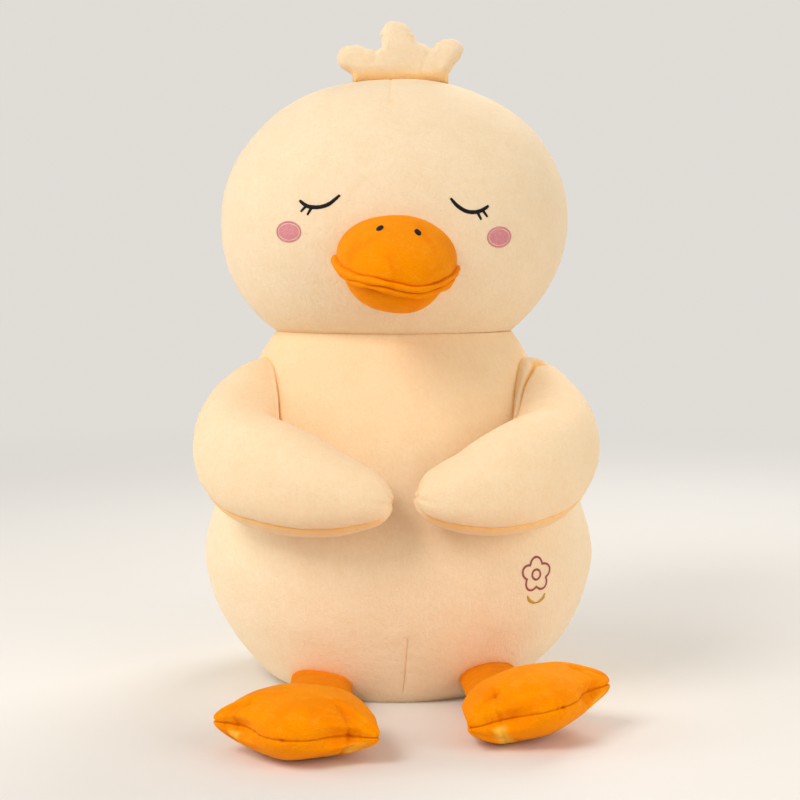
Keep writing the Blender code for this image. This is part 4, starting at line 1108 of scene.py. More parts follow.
def build_crest():
    foot = crest_foot()
    outline = spline(CREST_OUTLINE_SHARES, np.linspace(0, 1, CREST_COLUMNS)) * [CREST.x, CREST_HEIGHT]
    low = np.linspace(outline[-1], outline[0], CREST_FOOT_COLUMNS) - [0, CREST_SINK]
    points, faces, normals = pillow(
        np.concatenate([outline, low]), CREST.y / 2, CREST_SPACING, CREST_EDGE_ROWS, CREST_FULL_SHARE
    )
    cloth = Cloth(points + np.array(foot), normals)
    side, rise = points[:, 0], points[:, 2]
    edge = np.abs(points[:, 1])
    high, size = CREST_LUMPS
    cloth.push(high * lumps(points, size, SEEDS["crest lumps"]) * smooth_step(rise, 0, CREST_CALM))
    for start, way, deep, width, length in CREST_FOLDS:
        way = unit(np.array(way))
        offset = points[:, [0, 2]] - start
        run = offset @ way
        beside = offset @ np.array([-way[1], way[0]]) + CREST_FOLD_WAVE * np.sin(run / CREST_FOLD_WAVE_LENGTH)
        ends = np.exp(-np.maximum(run, 0) / length) * np.exp(-np.maximum(-run, 0) / CREST_FOLD_START)
        dent = bell(beside, width) * ends
        cloth.push(-deep * dent)
        cloth.paint_shading(CREST_FOLD_SHADE * dent * deep / CREST_FOLD_FULL_DEPTH)
    tone = cloth.painted_shading.copy()
    shown = smooth_step(rise, 0.0, CREST_SEAM_START)
    cloth.seam(edge, side + rise, SEEDS["crest seam"], shown, CREST_SEAM_DEPTH, CREST_SEAM_PUCKER)
    # The seam round the edge keeps the painted shade of the folds, and the foot gets painted shade where it meets the
    # head.
    foot_shade = np.exp(-np.maximum(rise - CREST_FOOT_RISE, 0) / CREST_FOOT_REACH)
    cloth.painted_shading = np.maximum(tone, CREST_FOOT_SHADE * foot_shade)
    values = {"painted_shading": cloth.painted_shading.tolist(), "pale": cloth.pale.tolist()}
    made = solid("plush_crest", cloth.points.tolist(), faces.tolist(), values)
    dress(made, PLUSH, "cream_plush", "crest", fill=0.8)
    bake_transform(made)


# Arms


def build_arm(side):
    sign = SIDES[side]
    places = graded(ARM_ROWS, (1.0,), *ARM_TIP_GRADING)
    out, forward, up, height_share, thick_share = spline(ARM_PATH_SHARES, places).T
    reach = np.clip(2 * places - 1, 0, 1)
    centre = np.stack([
        sign * (out * BODY.x / 2 + HAND_SHIFT[side] * reach),
        -forward * BODY.y / 2,
        up * NECK_HEIGHT + HAND_LIFT[side] * reach ** 2,
    ], -1)
    along = unit(np.gradient(centre, axis=0))
    outward = centre * [1, 1, 0]
    outward = unit(outward - along * np.sum(outward * along, axis=1, keepdims=True))
    upward = np.cross(along, outward) * sign
    nose = np.sqrt(1 - np.clip((places - ARM_TIP_SHARE) / (1 - ARM_TIP_SHARE), 0, 0.999) ** 2)
    seams = [(angle / (2 * pi)) % 1 for angle in ARM_SEAM_ANGLES]
    angles = 2 * pi * graded(ARM_COLUMNS, seams, *ARM_SEAM_GRADING, closed=True)
    front, rise = oval(angles, ARM_ROUNDNESS)
    half_thick = (thick_share * nose * ARM_THICKNESS / 2)[:, None, None]
    half_high = (height_share * nose * ARM_HEIGHT / 2)[:, None, None]
    points = centre[:, None] + outward[:, None] * half_thick * front[None, :, None]
    points = points + upward[:, None] * half_high * rise[None, :, None]
    cloth = Cloth(points)
    run = np.concatenate([[0], np.cumsum(np.linalg.norm(np.diff(centre, axis=0), axis=1))])[:, None]
    rest = run[-1, 0] - run
    cloth.swell(ARM_LUMPS, [seed + sign for seed in SEEDS["arm lumps"]], smooth_step(rest, 0, ARM_CALM))
    size = np.maximum(half_thick, half_high)[..., 0]
    shown = smooth_step(rest, 0, ARM_SEAM_END)
    for number, (angle, tone) in enumerate(zip(ARM_SEAM_ANGLES, ARM_SEAM_TONES)):
        away = turn_from(angles, angle)[None, :] * size
        cloth.seam(away, run, SEEDS["arm seams"] + number, shown, ARM_SEAM_DEPTH, ARM_SEAM_PUCKER, tone=tone)
    # Painted shade on the strip between the two seams, fading away from the front seam and at both ends.
    front_seam, back_seam = (2 * pi + angle for angle in ARM_SEAM_ANGLES)
    strip = smooth_step(angles, back_seam - STRIP_EDGE, back_seam)
    strip = strip * (1 - smooth_step(angles, front_seam, front_seam + STRIP_EDGE))
    off_seam = np.abs(turn_from(angles, ARM_SEAM_ANGLES[0]))[None] * size
    shade = strip[None] * np.exp(-off_seam / STRIP_REACH) * smooth_step(rest, 0, STRIP_END)
    cloth.paint_shading(STRIP_SHADE * shade * smooth_step(run, *STRIP_START))

    fold = SHOULDER_FOLD[side] + SHOULDER_FOLD_RUN * np.maximum(angles - SHOULDER_FOLD_TURN, 0) ** 2
    beside = (places[:, None] - fold[None]) * run[-1, 0]
    first, second, third, fourth = SHOULDER_FOLD_ENDS
    shown = (smooth_step(angles, first, second) * (1 - smooth_step(angles, third, fourth)))[None]
    deep, tone, spread = SHOULDER_FOLD_CUT[side]
    away = beside - SHOULDER_FOLD_WAVE * np.sin(angles * SHOULDER_FOLD_BENDS)[None]
    cloth.push(-deep * shown * bell(away, SHOULDER_FOLD_WIDTH))
    # Painted shade along the fold.
    cloth.paint_shading(tone * shown * bell(away, spread))
    cloth.push(SHOULDER_PUFF * shown * bell(beside + SHOULDER_PUFF_GAP, SHOULDER_PUFF_WIDTH))
    cloth.paint_shading(HUG_TONE["arm"])
    for place in round_places(HAND_TUCKS, SEEDS["hand tucks"] + sign):
        cloth.tuck(turn_from(angles, place)[None, :] * size, rest, **HAND_TUCK)
    made = cloth.mesh(f"plush_arm_{side}")
    dress(made, PLUSH, "cream_plush", f"arm_{side}_cover", f"arm_{side}_stuffing", fill=0.8)
    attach(made, f"arm_{side}")
    return made


# Legs and feet


def build_leg(side):
    hip = joint_place(f"leg_{side}_swing")
    ankle = joint_place(f"foot_{side}_tilt")
    ankle.z = hip.z
    along = (ankle - hip).normalized()
    across = along.cross(UP)
    places = np.linspace(0, 1, LEG_ROWS)
    start = hip - along * LEG_START_DEPTH
    centre = np.array(start)[None] + places[:, None] * np.array(ankle - start)[None]
    angles = 2 * pi * graded(LEG_COLUMNS, (0.75,), *LEG_SEAM_GRADING, closed=True)
    ring = np.outer(np.cos(angles) * LEG_WIDTH / 2, np.array(across))
    ring = ring + np.outer(np.sin(angles) * LEG_THICKNESS / 2, np.array(UP))
    cloth = Cloth(centre[:, None] + ring[None])
    run = (places * (ankle - start).length)[:, None]
    draw = np.random.default_rng(SEEDS["leg folds"] + SIDES[side])
    for place, lean, deep in zip(*(draw.uniform(*ends, LEG_FOLDS) for ends in LEG_FOLD_ENDS)):
        beside = run - place - lean * np.cos(angles)[None] * LEG_WIDTH / 2
        cloth.push(-LEG_FOLD_DEPTH * deep * bell(beside, LEG_FOLD_WIDTH))
    cloth.swell(LEG_LUMPS, SEEDS["leg lumps"])
    cloth.seam(turn_from(angles, -pi / 2)[None] * LEG_WIDTH / 2, run, SEEDS["leg seam"], depth=LEG_SEAM_DEPTH)
    cloth.points[..., 2] = np.maximum(cloth.points[..., 2], LEG_LIFT)
    # Painted shade over the whole leg.
    cloth.paint_shading(LEG_SHADE)
    made = cloth.mesh(f"velvet_leg_{side}")
    dress(made, VELVET, "orange_velvet", f"leg_{side}_cover", f"leg_{side}_stuffing", fill=0.7)
    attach(made, f"leg_{side}")
    return made


def foot_place(side):
    heel_middle = Vector((0, FOOT_LENGTH / 2 - HEEL_DEPTH, 0))
    return (
        Matrix.Translation(joint_place(f"foot_{side}_tilt"))
        @ Matrix.Rotation(FOOT_YAW[side], 4, "Z")
        @ Matrix.Rotation(-FOOT_PITCH[side], 4, "X")
        @ Matrix.Rotation(-FOOT_ROLL[side], 4, "Y")
        @ Matrix.Translation(-heel_middle)
    )


def foot_outline(half, count):
    whole = list(half) + [(ahead, -aside) for ahead, aside in reversed(half[1:-1])]
    rows = spline(whole, np.arange(count) / count, closed=True)
    return np.stack([rows[:, 1] * FOOT_WIDTH, -rows[:, 0] * FOOT_LENGTH], -1)


def build_foot(side):
    sign = SIDES[side]
    outline = foot_outline(FOOT_OUTLINE_SHARES, FOOT_COLUMNS)
    pad = foot_outline(FOOT_PAD_SHARES, FOOT_COLUMNS)
    levels = np.linspace(-pi / 2, pi / 2, FOOT_ROWS + 2)[1:-1]
    under, low_lift = oval(levels, FOOT_ROUNDNESS["under"])
    over, high_lift = oval(levels, FOOT_ROUNDNESS["over"])
    share = np.where(levels < 0, under, over)
    lift = np.where(levels < 0, low_lift, high_lift * FOOT_OVER_SHARE[side])
    free = smooth_step(np.abs(lift), 0.0, FOOT_SWELL_LIFT)
    swell = FOOT_SWELL * (SEAM_SWELL_SHARE + (1 - SEAM_SWELL_SHARE) * free)[:, None, None]
    flat = share[:, None, None] * (outline + swell * (pad - outline))
    height = np.outer(lift * FOOT_THICKNESS / 2, np.ones(FOOT_COLUMNS))
    for ahead, aside in TOE_TIP_SHARES[::2]:
        gap = np.linalg.norm(flat - [aside * FOOT_WIDTH, -ahead * FOOT_LENGTH], axis=-1)
        height = height * (1 - TOE_TAPER * bell(gap, TOE_TAPER_REACH))
    cloth = Cloth(np.concatenate([flat, height[..., None]], -1))
    points = cloth.points
    first, second = SEEDS["foot lumps"]
    cloth.swell(FOOT_LUMPS, (first + sign, second))
    steps = np.linalg.norm(np.roll(outline, -1, 0) - outline, axis=1)
    run = np.concatenate([[0], np.cumsum(steps)[:-1]])[None, :]
    cloth.seam(points[..., 2], run, SEEDS["foot seam"] + sign, **FOOT_SEAM)
    for aside in SIDES.values():
        valley = np.array([aside * VALLEY_SHARE[1] * FOOT_WIDTH, -VALLEY_SHARE[0] * FOOT_LENGTH])
        inward = -valley / np.linalg.norm(valley)
        offset = points[..., :2] - valley
        forth = offset @ inward
        beside = offset @ np.array([inward[1], -inward[0]])
        cloth.tuck(beside - VALLEY_WAVE * np.sin(forth / VALLEY_WAVE_LENGTH), forth, **VALLEY_TUCK)
        for lean, deep in VALLEY_FOLDS:
            fold = beside - lean * forth - VALLEY_WAVE * lean * np.sin(forth / VALLEY_FOLD_WAVE_LENGTH)
            out = np.maximum(forth - VALLEY_FOLD_START, 0)
            cloth.tuck(fold, out, deep, VALLEY_FOLD_WIDTH, VALLEY_FOLD_LENGTH)
        under = bell(beside + CRUSHED_LEAN * forth, CRUSHED_WIDTH) * smooth_step(-points[..., 2], *CRUSHED_DROP)
        cloth.pale = np.maximum(cloth.pale, under * np.exp(-np.abs(forth) / CRUSHED_LENGTH))
    for ahead, aside in TOE_TIP_SHARES:
        tip = [aside * FOOT_WIDTH * TOE_NICK_SHARE, -ahead * FOOT_LENGTH * TOE_NICK_SHARE]
        gap = np.linalg.norm(points[..., :2] - tip, axis=-1)
        nick = np.exp(-(gap ** 2 + (2 * points[..., 2]) ** 2) / TOE_NICK_SIZE ** 2)
        cloth.push(-TOE_NICK_DEPTH * nick)
        # Painted shade in the nick.
        cloth.paint_shading(nick)
    draw = np.random.default_rng(SEEDS["foot tucks"] + sign)
    tuck_places, strengths = (draw.uniform(*ends, FOOT_TUCKS) for ends in ((0, 1), FOOT_TUCK_STRENGTHS))
    for place, strength in zip(tuck_places, strengths):
        turn = (run / run.max() - place + 0.5) % 1 - 0.5
        deep = FOOT_TUCK_DEPTH * strength
        cloth.tuck(turn * run.max(), points[..., 2], deep, FOOT_TUCK_WIDTH, FOOT_TUCK_LENGTH)
    placed = moved(cloth.points, foot_place(side))
    placed[..., 2] = np.maximum(placed[..., 2], 0)
    cloth.points = placed
    made = cloth.mesh(f"velvet_foot_{side}")
    dress(made, VELVET, "orange_velvet", f"foot_{side}_cover", f"foot_{side}_stuffing", fill=0.85)
    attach(made, f"foot_{side}")


# Bill


def bill_place():
    here = head_surface(BILL_SHIFT / (HEAD_WIDTH / 2), BILL_HEIGHT_SHARE)
    turn = Matrix.Rotation(BILL_ROLL, 4, "Y") @ Matrix.Rotation(BILL_PITCH, 4, "X")
    return head_place() @ Matrix.Translation(here + Vector((0, BILL_SINK, 0))) @ turn


def mouth_wave(points):
    """The mouth's line isn't quite flat: it lifts left of the middle and drops right of it."""
    side, ahead = points[..., 0], -points[..., 1]
    wave = sum(high * bell(side - middle, width) for high, middle, width in MOUTH_WAVES)
    return wave * smooth_step(ahead, MOUTH_WAVE_START, BILL_LENGTH)


def parting(points):
    """How far the lower lip has sunk from the upper one, more on the right than on the left."""
    right = smooth_step(points[..., 0], -LIP_PARTING_SIDE, LIP_PARTING_SIDE)
    return LIP_PARTING * right * smooth_step(-points[..., 1], 0.0, LIP_PARTING_AHEAD)


def bill_rings(shares, heights, width, length, grow=0):
    """Rings round the bill at these heights: shares of its width and length, then wider by grow."""
    angles = 2 * pi * np.arange(BILL_COLUMNS) / BILL_COLUMNS
    side, ahead = oval(angles, BILL_ROUNDNESS)
    half_width = width / 2 * shares + grow
    reach = (length + BILL_SINK) * shares + grow
    flat = np.ones_like(angles)
    return np.stack([np.outer(half_width, side), np.outer(reach, ahead), np.outer(heights, flat)], -1)


def round_bill(points, width):
    """The distance run round the bill from the middle of its front."""
    return np.arctan2(points[..., 0], -points[..., 1]) * width / 2


def build_bill_half(name, sign, width, length, rise):
    levels = np.linspace(0, pi / 2, BILL_ROWS + 1)[:-1]
    share, lift = oval(levels, BILL_CROWN)
    points = bill_rings(share, sign * (LIP_HEIGHT + (rise - LIP_HEIGHT) * lift), width, length)
    fade = (1 - lift)[:, None]
    points[..., 2] += mouth_wave(points) * fade ** MOUTH_WAVE_FADE
    seed = SEEDS[f"{name} bill"]
    cloth = Cloth(points)
    cloth.swell(BILL_LUMPS, (seed,), 1 - fade)
    away = np.abs(points[..., 2]) - LIP_HEIGHT
    seam_gap = away - mouth_wave(points) * sign
    cloth.seam(seam_gap, round_bill(points, width), seed + 1, 1.0, BILL_SEAM_DEPTH, BILL_SEAM_PUCKER)
    if sign < 0:
        cloth.paint_shading(LOWER_BILL_SHADE * np.exp(-np.maximum(away, 0) / LOWER_BILL_SHADE_REACH))
    cloth.points = moved(cloth.points, bill_place())
    made = cloth.mesh(f"velvet_{name}_bill", high_pole=bill_place() @ Vector((0, 0, sign * rise)))
    dress(made, VELVET, "orange_velvet", f"{name}_bill_cover", f"{name}_bill_stuffing", fill=0.8)
    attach(made, "head")
    return made


def build_lip(name, sign, width, inset):
    """A padded roll round half of the mouth, set in a little and parted where it is the lower one."""
    turns = np.linspace(-pi / 2, pi / 2, LIP_ROWS)
    rounding = (1 - np.cos(turns) ** LIP_ROUNDING) * LIP_HEIGHT / 2
    heights = sign * (LIP_HEIGHT / 2 + LIP_GAP) + LIP_HEIGHT / 2 * np.sin(turns)
    edge = BILL_WIDTH - 2 * inset, BILL_LENGTH - inset
    points = bill_rings(np.ones_like(turns), heights, *edge, LIP_PROUD - inset - rounding)
    points[..., 2] += mouth_wave(points) - (0 if sign > 0 else parting(points))
    cloth = Cloth(points)
    run = round_bill(points, width)
    ripple = np.sin(run / LIP_RIPPLE_LENGTH + 2 * np.sin(run / LIP_RIPPLE_DRIFT)) * LIP_RIPPLE
    high, size = LIP_LUMPS
    fuller = UPPER_LIP_FULLER * smooth_step(-points[..., 0], 0.0, UPPER_LIP_FULLER_SIDE) if sign > 0 else 0
    cloth.push(ripple + high * lumps(points, size, SEEDS[f"{name} bill"] + 3) + fuller)
    cloth.points = moved(cloth.points, bill_place())
    made = cloth.mesh(f"velvet_{name}_lip")
    dress(made, VELVET, "orange_velvet", f"{name}_lip", fill=0.7)
    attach(made, "head")


def build_bill():
    upper = build_bill_half("upper", 1, BILL_WIDTH, BILL_LENGTH, BILL_RISE)
    build_lip("upper", 1, BILL_WIDTH, 0)
    width, length = BILL_WIDTH * LOWER_BILL_SHARE, BILL_LENGTH * LOWER_BILL_SHARE
    build_bill_half("lower", -1, width, length, BILL_DROP)
    build_lip("lower", -1, width, LOWER_LIP_INSET)
    return upper


# Tail and care label


def build_tail():
    """A short stuffed point of two shapes, sewn into the middle seam of the back."""
    root = body_surface(0, TAIL_HEIGHT_SHARE * NECK_HEIGHT, back=True)
    back = Vector((0, cos(TAIL_RISE), sin(TAIL_RISE)))
    over = np.array(back.cross(ACROSS))
    places = np.sin(np.linspace(0, pi / 2, TAIL_ROWS + 1)[:-1])
    run_share, width_share = spline(TAIL_OUTLINE_SHARES, places).T
    run = run_share * (TAIL_LENGTH + TAIL_SINK) - TAIL_SINK
    half = np.maximum(width_share, TAIL_TIP_SHARE) * TAIL_WIDTH / 2
    angles = 2 * pi * graded(TAIL_COLUMNS, (0.0, 0.5), *TAIL_SEAM_GRADING, closed=True)
    centre = np.array(root) + run[:, None] * np.array(back)
    ring = np.outer(np.cos(angles), np.array(ACROSS)) + np.outer(np.sin(angles) * TAIL_FLAT_SHARE, over)
    cloth = Cloth(centre[:, None] + half[:, None, None] * ring[None])
    along = run[:, None]
    cloth.swell(TAIL_LUMPS, SEEDS["tail lumps"], smooth_step(TAIL_LENGTH - along, 0, TAIL_CALM))
    sewn = smooth_step(TAIL_LENGTH - along, 0, TAIL_SEAM_END)
    for angle in (0, pi):
        away = turn_from(angles, angle)[None] * half[:, None]
        cloth.seam(away, along, SEEDS["tail seams"], sewn, TAIL_SEAM_DEPTH, TAIL_SEAM_PUCKER)
    for place in round_places(TAIL_TUCKS, SEEDS["tail tucks"]):
        cloth.tuck(turn_from(angles, place)[None] * TAIL_WIDTH / 2, along, **TAIL_TUCK)
    # Painted shade where the tail meets the body.
    cloth.paint_shading(TAIL_ROOT_SHADE * np.exp(-np.maximum(along - TAIL_ROOT_RISE, 0) / TAIL_ROOT_REACH))
    made = cloth.mesh("plush_tail", high_pole=root + back * TAIL_LENGTH)
    dress(made, PLUSH, "cream_plush", "tail", fill=0.8)
    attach(made, "torso")
    return made


def build_label(body_form):
    """A satin ribbon, folded once and caught in the closing seam by its two ends."""
    here = body_surface(LABEL_SIDE_SHARE * BODY.x / 2, LABEL_HEIGHT_SHARE * NECK_HEIGHT, back=True)
    here = nearest(body_form, here)[0]
    above, below = (nearest(body_form, here + UP * gap)[1] for gap in (LABEL_WIDTH, -LABEL_WIDTH))
    out = (above + below).normalized()
    across = UP.cross(out).normalized()
    reach = LABEL_LENGTH + LABEL_SINK
    turns = np.linspace(0, pi, LABEL_LOOP_ROWS)[1:-1]
    path = [(share * reach, LABEL_LOOP) for share in np.linspace(0, 1, LABEL_ROWS)]
    path += [(reach + LABEL_LOOP * sin(turn), LABEL_LOOP * cos(turn)) for turn in turns]
    path += [(share * reach, -LABEL_LOOP) for share in np.linspace(1, 0, LABEL_ROWS)]
    points = []
    for run, rise in path:
        along = Matrix.Rotation(-LABEL_DROOP * run / reach, 3, across) @ out
        ripple = LABEL_RIPPLE * sin(run / LABEL_RIPPLE_LENGTH)
        middle = here + along * (run - LABEL_SINK) + along.cross(across) * (rise + ripple)
        points.append([middle + across * side * LABEL_WIDTH for side in LABEL_COLUMN_SHARES])
    count = len(LABEL_COLUMN_SHARES)
    faces = [
        (row * count + i, row * count + i + 1, (row + 1) * count + i + 1, (row + 1) * count + i)
        for row in range(len(points) - 1) for i in range(count - 1)
    ]
    mesh = bpy.data.meshes.new("care_ribbon")
    mesh.from_pydata([point for row in points for point in row], [], faces)
    mesh.shade_smooth()
    made = put("care_ribbon", mesh)
    dress(made, RIBBON, "label_satin", "care_label")
    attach(made, "torso")


# Embroidery


def satin_works():
    """Satin stitches side by side across guide lines, whose points carry their length, rise and outward way."""
    works = bpy.data.node_groups.new("satin_stitches", "GeometryNodeTree")
    keys = {}
    for key, kind in (
        ("Guides", "Geometry"), ("Spacing", "Float"), ("Thread radius", "Float"), ("Ragged share", "Float"),
        ("Seed", "Int"), ("Thread", "Material"),
    ):
        keys[key] = works.interface.new_socket(key, in_out="INPUT", socket_type=f"NodeSocket{kind}").identifier
    works.interface.new_socket("Stitches", in_out="OUTPUT", socket_type="NodeSocketGeometry")
    given = works.nodes.new("NodeGroupInput").outputs

    def step(kind, settings=(), inputs=()):
        made = works.nodes.new(kind)
        for key, value in dict(settings).items():
            setattr(made, key, value)
        for key, value in dict(inputs).items():
            if isinstance(value, bpy.types.NodeSocket):
                works.links.new(value, made.inputs[key])
            else:
                made.inputs[key].default_value = value
        return made.outputs

    def carried(key, kind):
        return step("GeometryNodeInputNamedAttribute", {"data_type": kind}, {"Name": key})[0]

    def maths(operation, first, second):
        return step("ShaderNodeMath", {"operation": operation}, {0: first, 1: second})[0]

    lines = step("GeometryNodeMeshToCurve", {}, {"Mesh": given["Guides"]})[0]
    places = step("GeometryNodeCurveToPoints", {"mode": "LENGTH"}, {"Curve": lines, "Length": given["Spacing"]})
    less = maths("SUBTRACT", 1.0, given["Ragged share"])
    more = maths("ADD", 1.0, given["Ragged share"])
    ragged = step("FunctionNodeRandomValue", {"data_type": "FLOAT"}, {2: less, 3: more, "Seed": given["Seed"]})[1]
    length = maths("MULTIPLY", carried("span", "FLOAT"), ragged)
    scale = step("ShaderNodeCombineXYZ", {}, {0: length, 1: 1.0, 2: carried("rise", "FLOAT")})[0]
    facing = {"primary_axis": "Z", "secondary_axis": "Y"}
    turn = step("FunctionNodeAxesToRotation", facing, {0: carried("out", "FLOAT_VECTOR"), 1: places["Tangent"]})[0]
    bow = {"Resolution": THREAD_STEPS, "Start": (-0.5, 0, 0), "Middle": (0, 0, 2), "End": (0.5, 0, 0)}
    stitch = step("GeometryNodeCurveQuadraticBezier", {}, bow)[0]
    laid = step("GeometryNodeInstanceOnPoints", {}, {
        "Points": places["Points"], "Instance": stitch, "Rotation": turn, "Scale": scale,
    })[0]
    loose = step("GeometryNodeRealizeInstances", {}, {"Geometry": laid})[0]
    even = step("GeometryNodeSetCurveRadius", {}, {"Curve": loose, "Radius": 1.0})[0]
    edge = {"Resolution": THREAD_SIDES, "Radius": given["Thread radius"]}
    round_thread = step("GeometryNodeCurvePrimitiveCircle", {}, edge)[0]
    twisted = step("GeometryNodeCurveToMesh", {}, {"Curve": even, "Profile Curve": round_thread, "Fill Caps": True})[0]
    smooth = step("GeometryNodeSetShadeSmooth", {}, {"Geometry": twisted})[0]
    whole = step("GeometryNodeRealizeInstances", {}, {"Geometry": smooth})[0]
    coloured = step("GeometryNodeSetMaterial", {}, {"Geometry": whole, "Material": given["Thread"]})[0]
    works.links.new(coloured, works.nodes.new("NodeGroupOutput").inputs[0])
    return works, keys


WORKS, WORKS_KEYS = satin_works()


def surface_of(made):
    return BVHTree.FromPolygons([v.co for v in made.data.vertices], [p.vertices for p in made.data.polygons])


def paint_contact_shade(made, *others):
    """Paints shade on the cloth close to the pieces that it touches."""
    surfaces = [surface_of(other) for other in others]
    tones = made.data.attributes["painted_shading"].data
    for vertex, tone in zip(made.data.vertices, tones):
        for surface in surfaces:
            gap = surface.find_nearest(vertex.co, CONTACT_SHADE_SEARCH)[3]
            if gap is not None:
                tone.value = max(tone.value, CONTACT_SHADE * np.exp(-gap / CONTACT_SHADE_REACH))


def nearest(surface, point):
    """The nearest place on a finished form, and the way out of it."""
    spot, out, _, _ = surface.find_nearest(point)
    return spot, out


def guide(surface, points, spans, closed=False, bow=0.0):
    """A line on a finished form that stitches run across: its points, and each one's outward way, length and rise."""
    spots, outs = zip(*(nearest(surface, point) for point in points))
    rises = [THREAD_RISE + span * span * bow for span in spans]
    return list(spots), list(outs), list(spans), rises, closed


def embroider(name, guides, thread, slot, body, *nodes, seed=1, ragged=RAGGED_SHARE):
    points, edges, outs, spans, rises = [], [], [], [], []
    for spots, ways, lengths, heights, closed in guides:
        first = len(points)
        count = len(spots)
        edges += [(first + i, first + (i + 1) % count) for i in range(count if closed else count - 1)]
        points += spots
        outs += ways
        spans += lengths
        rises += heights
    mesh = bpy.data.meshes.new(name)
    mesh.from_pydata(points, edges, [])
    mesh.attributes.new("out", "FLOAT_VECTOR", "POINT").data.foreach_set("vector", [c for way in outs for c in way])
    mesh.attributes.new("span", "FLOAT", "POINT").data.foreach_set("value", spans)
    mesh.attributes.new("rise", "FLOAT", "POINT").data.foreach_set("value", rises)
    holder = put(name + "_guides", mesh)
    change = holder.modifiers.new("stitches", "NODES")
    change.node_group = WORKS
    settings = {
        "Spacing": THREAD_SPACING, "Thread radius": THREAD_RADIUS, "Ragged share": ragged, "Seed": seed,
        "Thread": thread,
    }
    for key, value in settings.items():
        change[WORKS_KEYS[key]] = value
    sewn = bpy.data.meshes.new_from_object(holder.evaluated_get(bpy.context.evaluated_depsgraph_get()))
    bpy.data.objects.remove(holder)
    made = put(name, sewn)
    dress(made, thread, slot, *nodes)
    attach(made, body)


def face_line(surface, shares, width, tip_share, ends):
    """Stitches across a curve on the face. They are at full width where ends is 0, and at the tip's where it is 1."""
    rows = spline(shares, np.linspace(0, 1, len(ends)))
    points = [head_place() @ head_surface(*row) for row in rows]
    return guide(surface, points, width * (1 - (1 - tip_share) * ends))


def oval_patch(surface, centre, first, second, bow):
    """Stitches across an oval: they run along the first half size and are laid side by side along the second."""
    places = np.linspace(-PATCH_END_SHARE, PATCH_END_SHARE, PATCH_POINTS)
    points = [centre + second * place for place in places]
    return guide(surface, points, 2 * first.length * np.sqrt(1 - places ** 2), bow=bow)


def build_face(surface):
    both_ends = np.abs(2 * np.linspace(0, 1, EYE_POINTS) - 1) ** EYE_TIP_POWER
    one_end = np.linspace(0, 1, LASH_POINTS)
    for side, sign in SIDES.items():
        lines = [face_line(surface, EYE_ARC_SHARES[side], EYE_LINE, EYE_TIP_SHARE, both_ends)]
        lines += [face_line(surface, lash, LASH_LINE, LASH_TIP_SHARE, one_end) for lash in LASH_SHARES[side]]
        embroider(
            f"satin_eye_{side}", lines, BLACK_THREAD, "black_thread", "head", f"eye_{side}", seed=SEEDS["eye"] + sign
        )

        centre, out = nearest(surface, head_place() @ head_surface(*CHEEK_PLACE_SHARES[side]))
        across = UP.cross(out).normalized()
        upward = out.cross(across).normalized()
        wide, high = CHEEK_WIDTH / 2, CHEEK_HEIGHT / 2
        less = CHEEK_RIM + CHEEK_GAP
        fill = oval_patch(surface, centre, across * (wide - less), upward * (high - less), 1 / (4 * HEAD_WIDTH))
        turns = np.linspace(0, 2 * pi, CHEEK_RIM_POINTS, endpoint=False)
        wide, high = wide - CHEEK_RIM / 2, high - CHEEK_RIM / 2
        ring = [centre + across * wide * cos(turn) + upward * high * sin(turn) for turn in turns]
        rim = guide(surface, ring, [CHEEK_RIM] * len(ring), closed=True)
        embroider(
            f"satin_cheek_{side}", [fill, rim], CHEEK_THREAD, "pink_thread", "head", f"cheek_{side}",
            seed=SEEDS["cheek"] + sign, ragged=CHEEK_RAGGED_SHARE,
        )


def bill_dome_point(side_share, lift):
    """A point on the upper bill, in the bill's own frame."""
    level = cos(lift) ** (2 / BILL_CROWN)
    depth = (1 - abs(side_share / level) ** BILL_ROUNDNESS) ** (1 / BILL_ROUNDNESS)
    rise = LIP_HEIGHT + (BILL_RISE - LIP_HEIGHT) * sin(lift) ** (2 / BILL_CROWN)
    return Vector((side_share * BILL_WIDTH / 2, -(BILL_LENGTH + BILL_SINK) * level * depth, rise))


def build_nostrils(surface):
    for side, sign in SIDES.items():
        centre, out = nearest(surface, bill_place() @ bill_dome_point(sign * NOSTRIL_SIDE_SHARE, NOSTRIL_LIFT))
        across = Matrix.Rotation(-NOSTRIL_TURN[side], 3, out) @ Vector((out.z, 0, -out.x)).normalized()
        upward = out.cross(across).normalized()
        wide, high = across * NOSTRIL_LENGTH / 2, upward * NOSTRIL_WIDTH / 2
        patch = oval_patch(surface, centre, high, wide, 1 / (4 * BILL_WIDTH))
        embroider(
            f"satin_nostril_{side}", [patch], BLACK_THREAD, "black_thread", "head", f"nostril_{side}",
            seed=SEEDS["nostril"] + sign,
        )


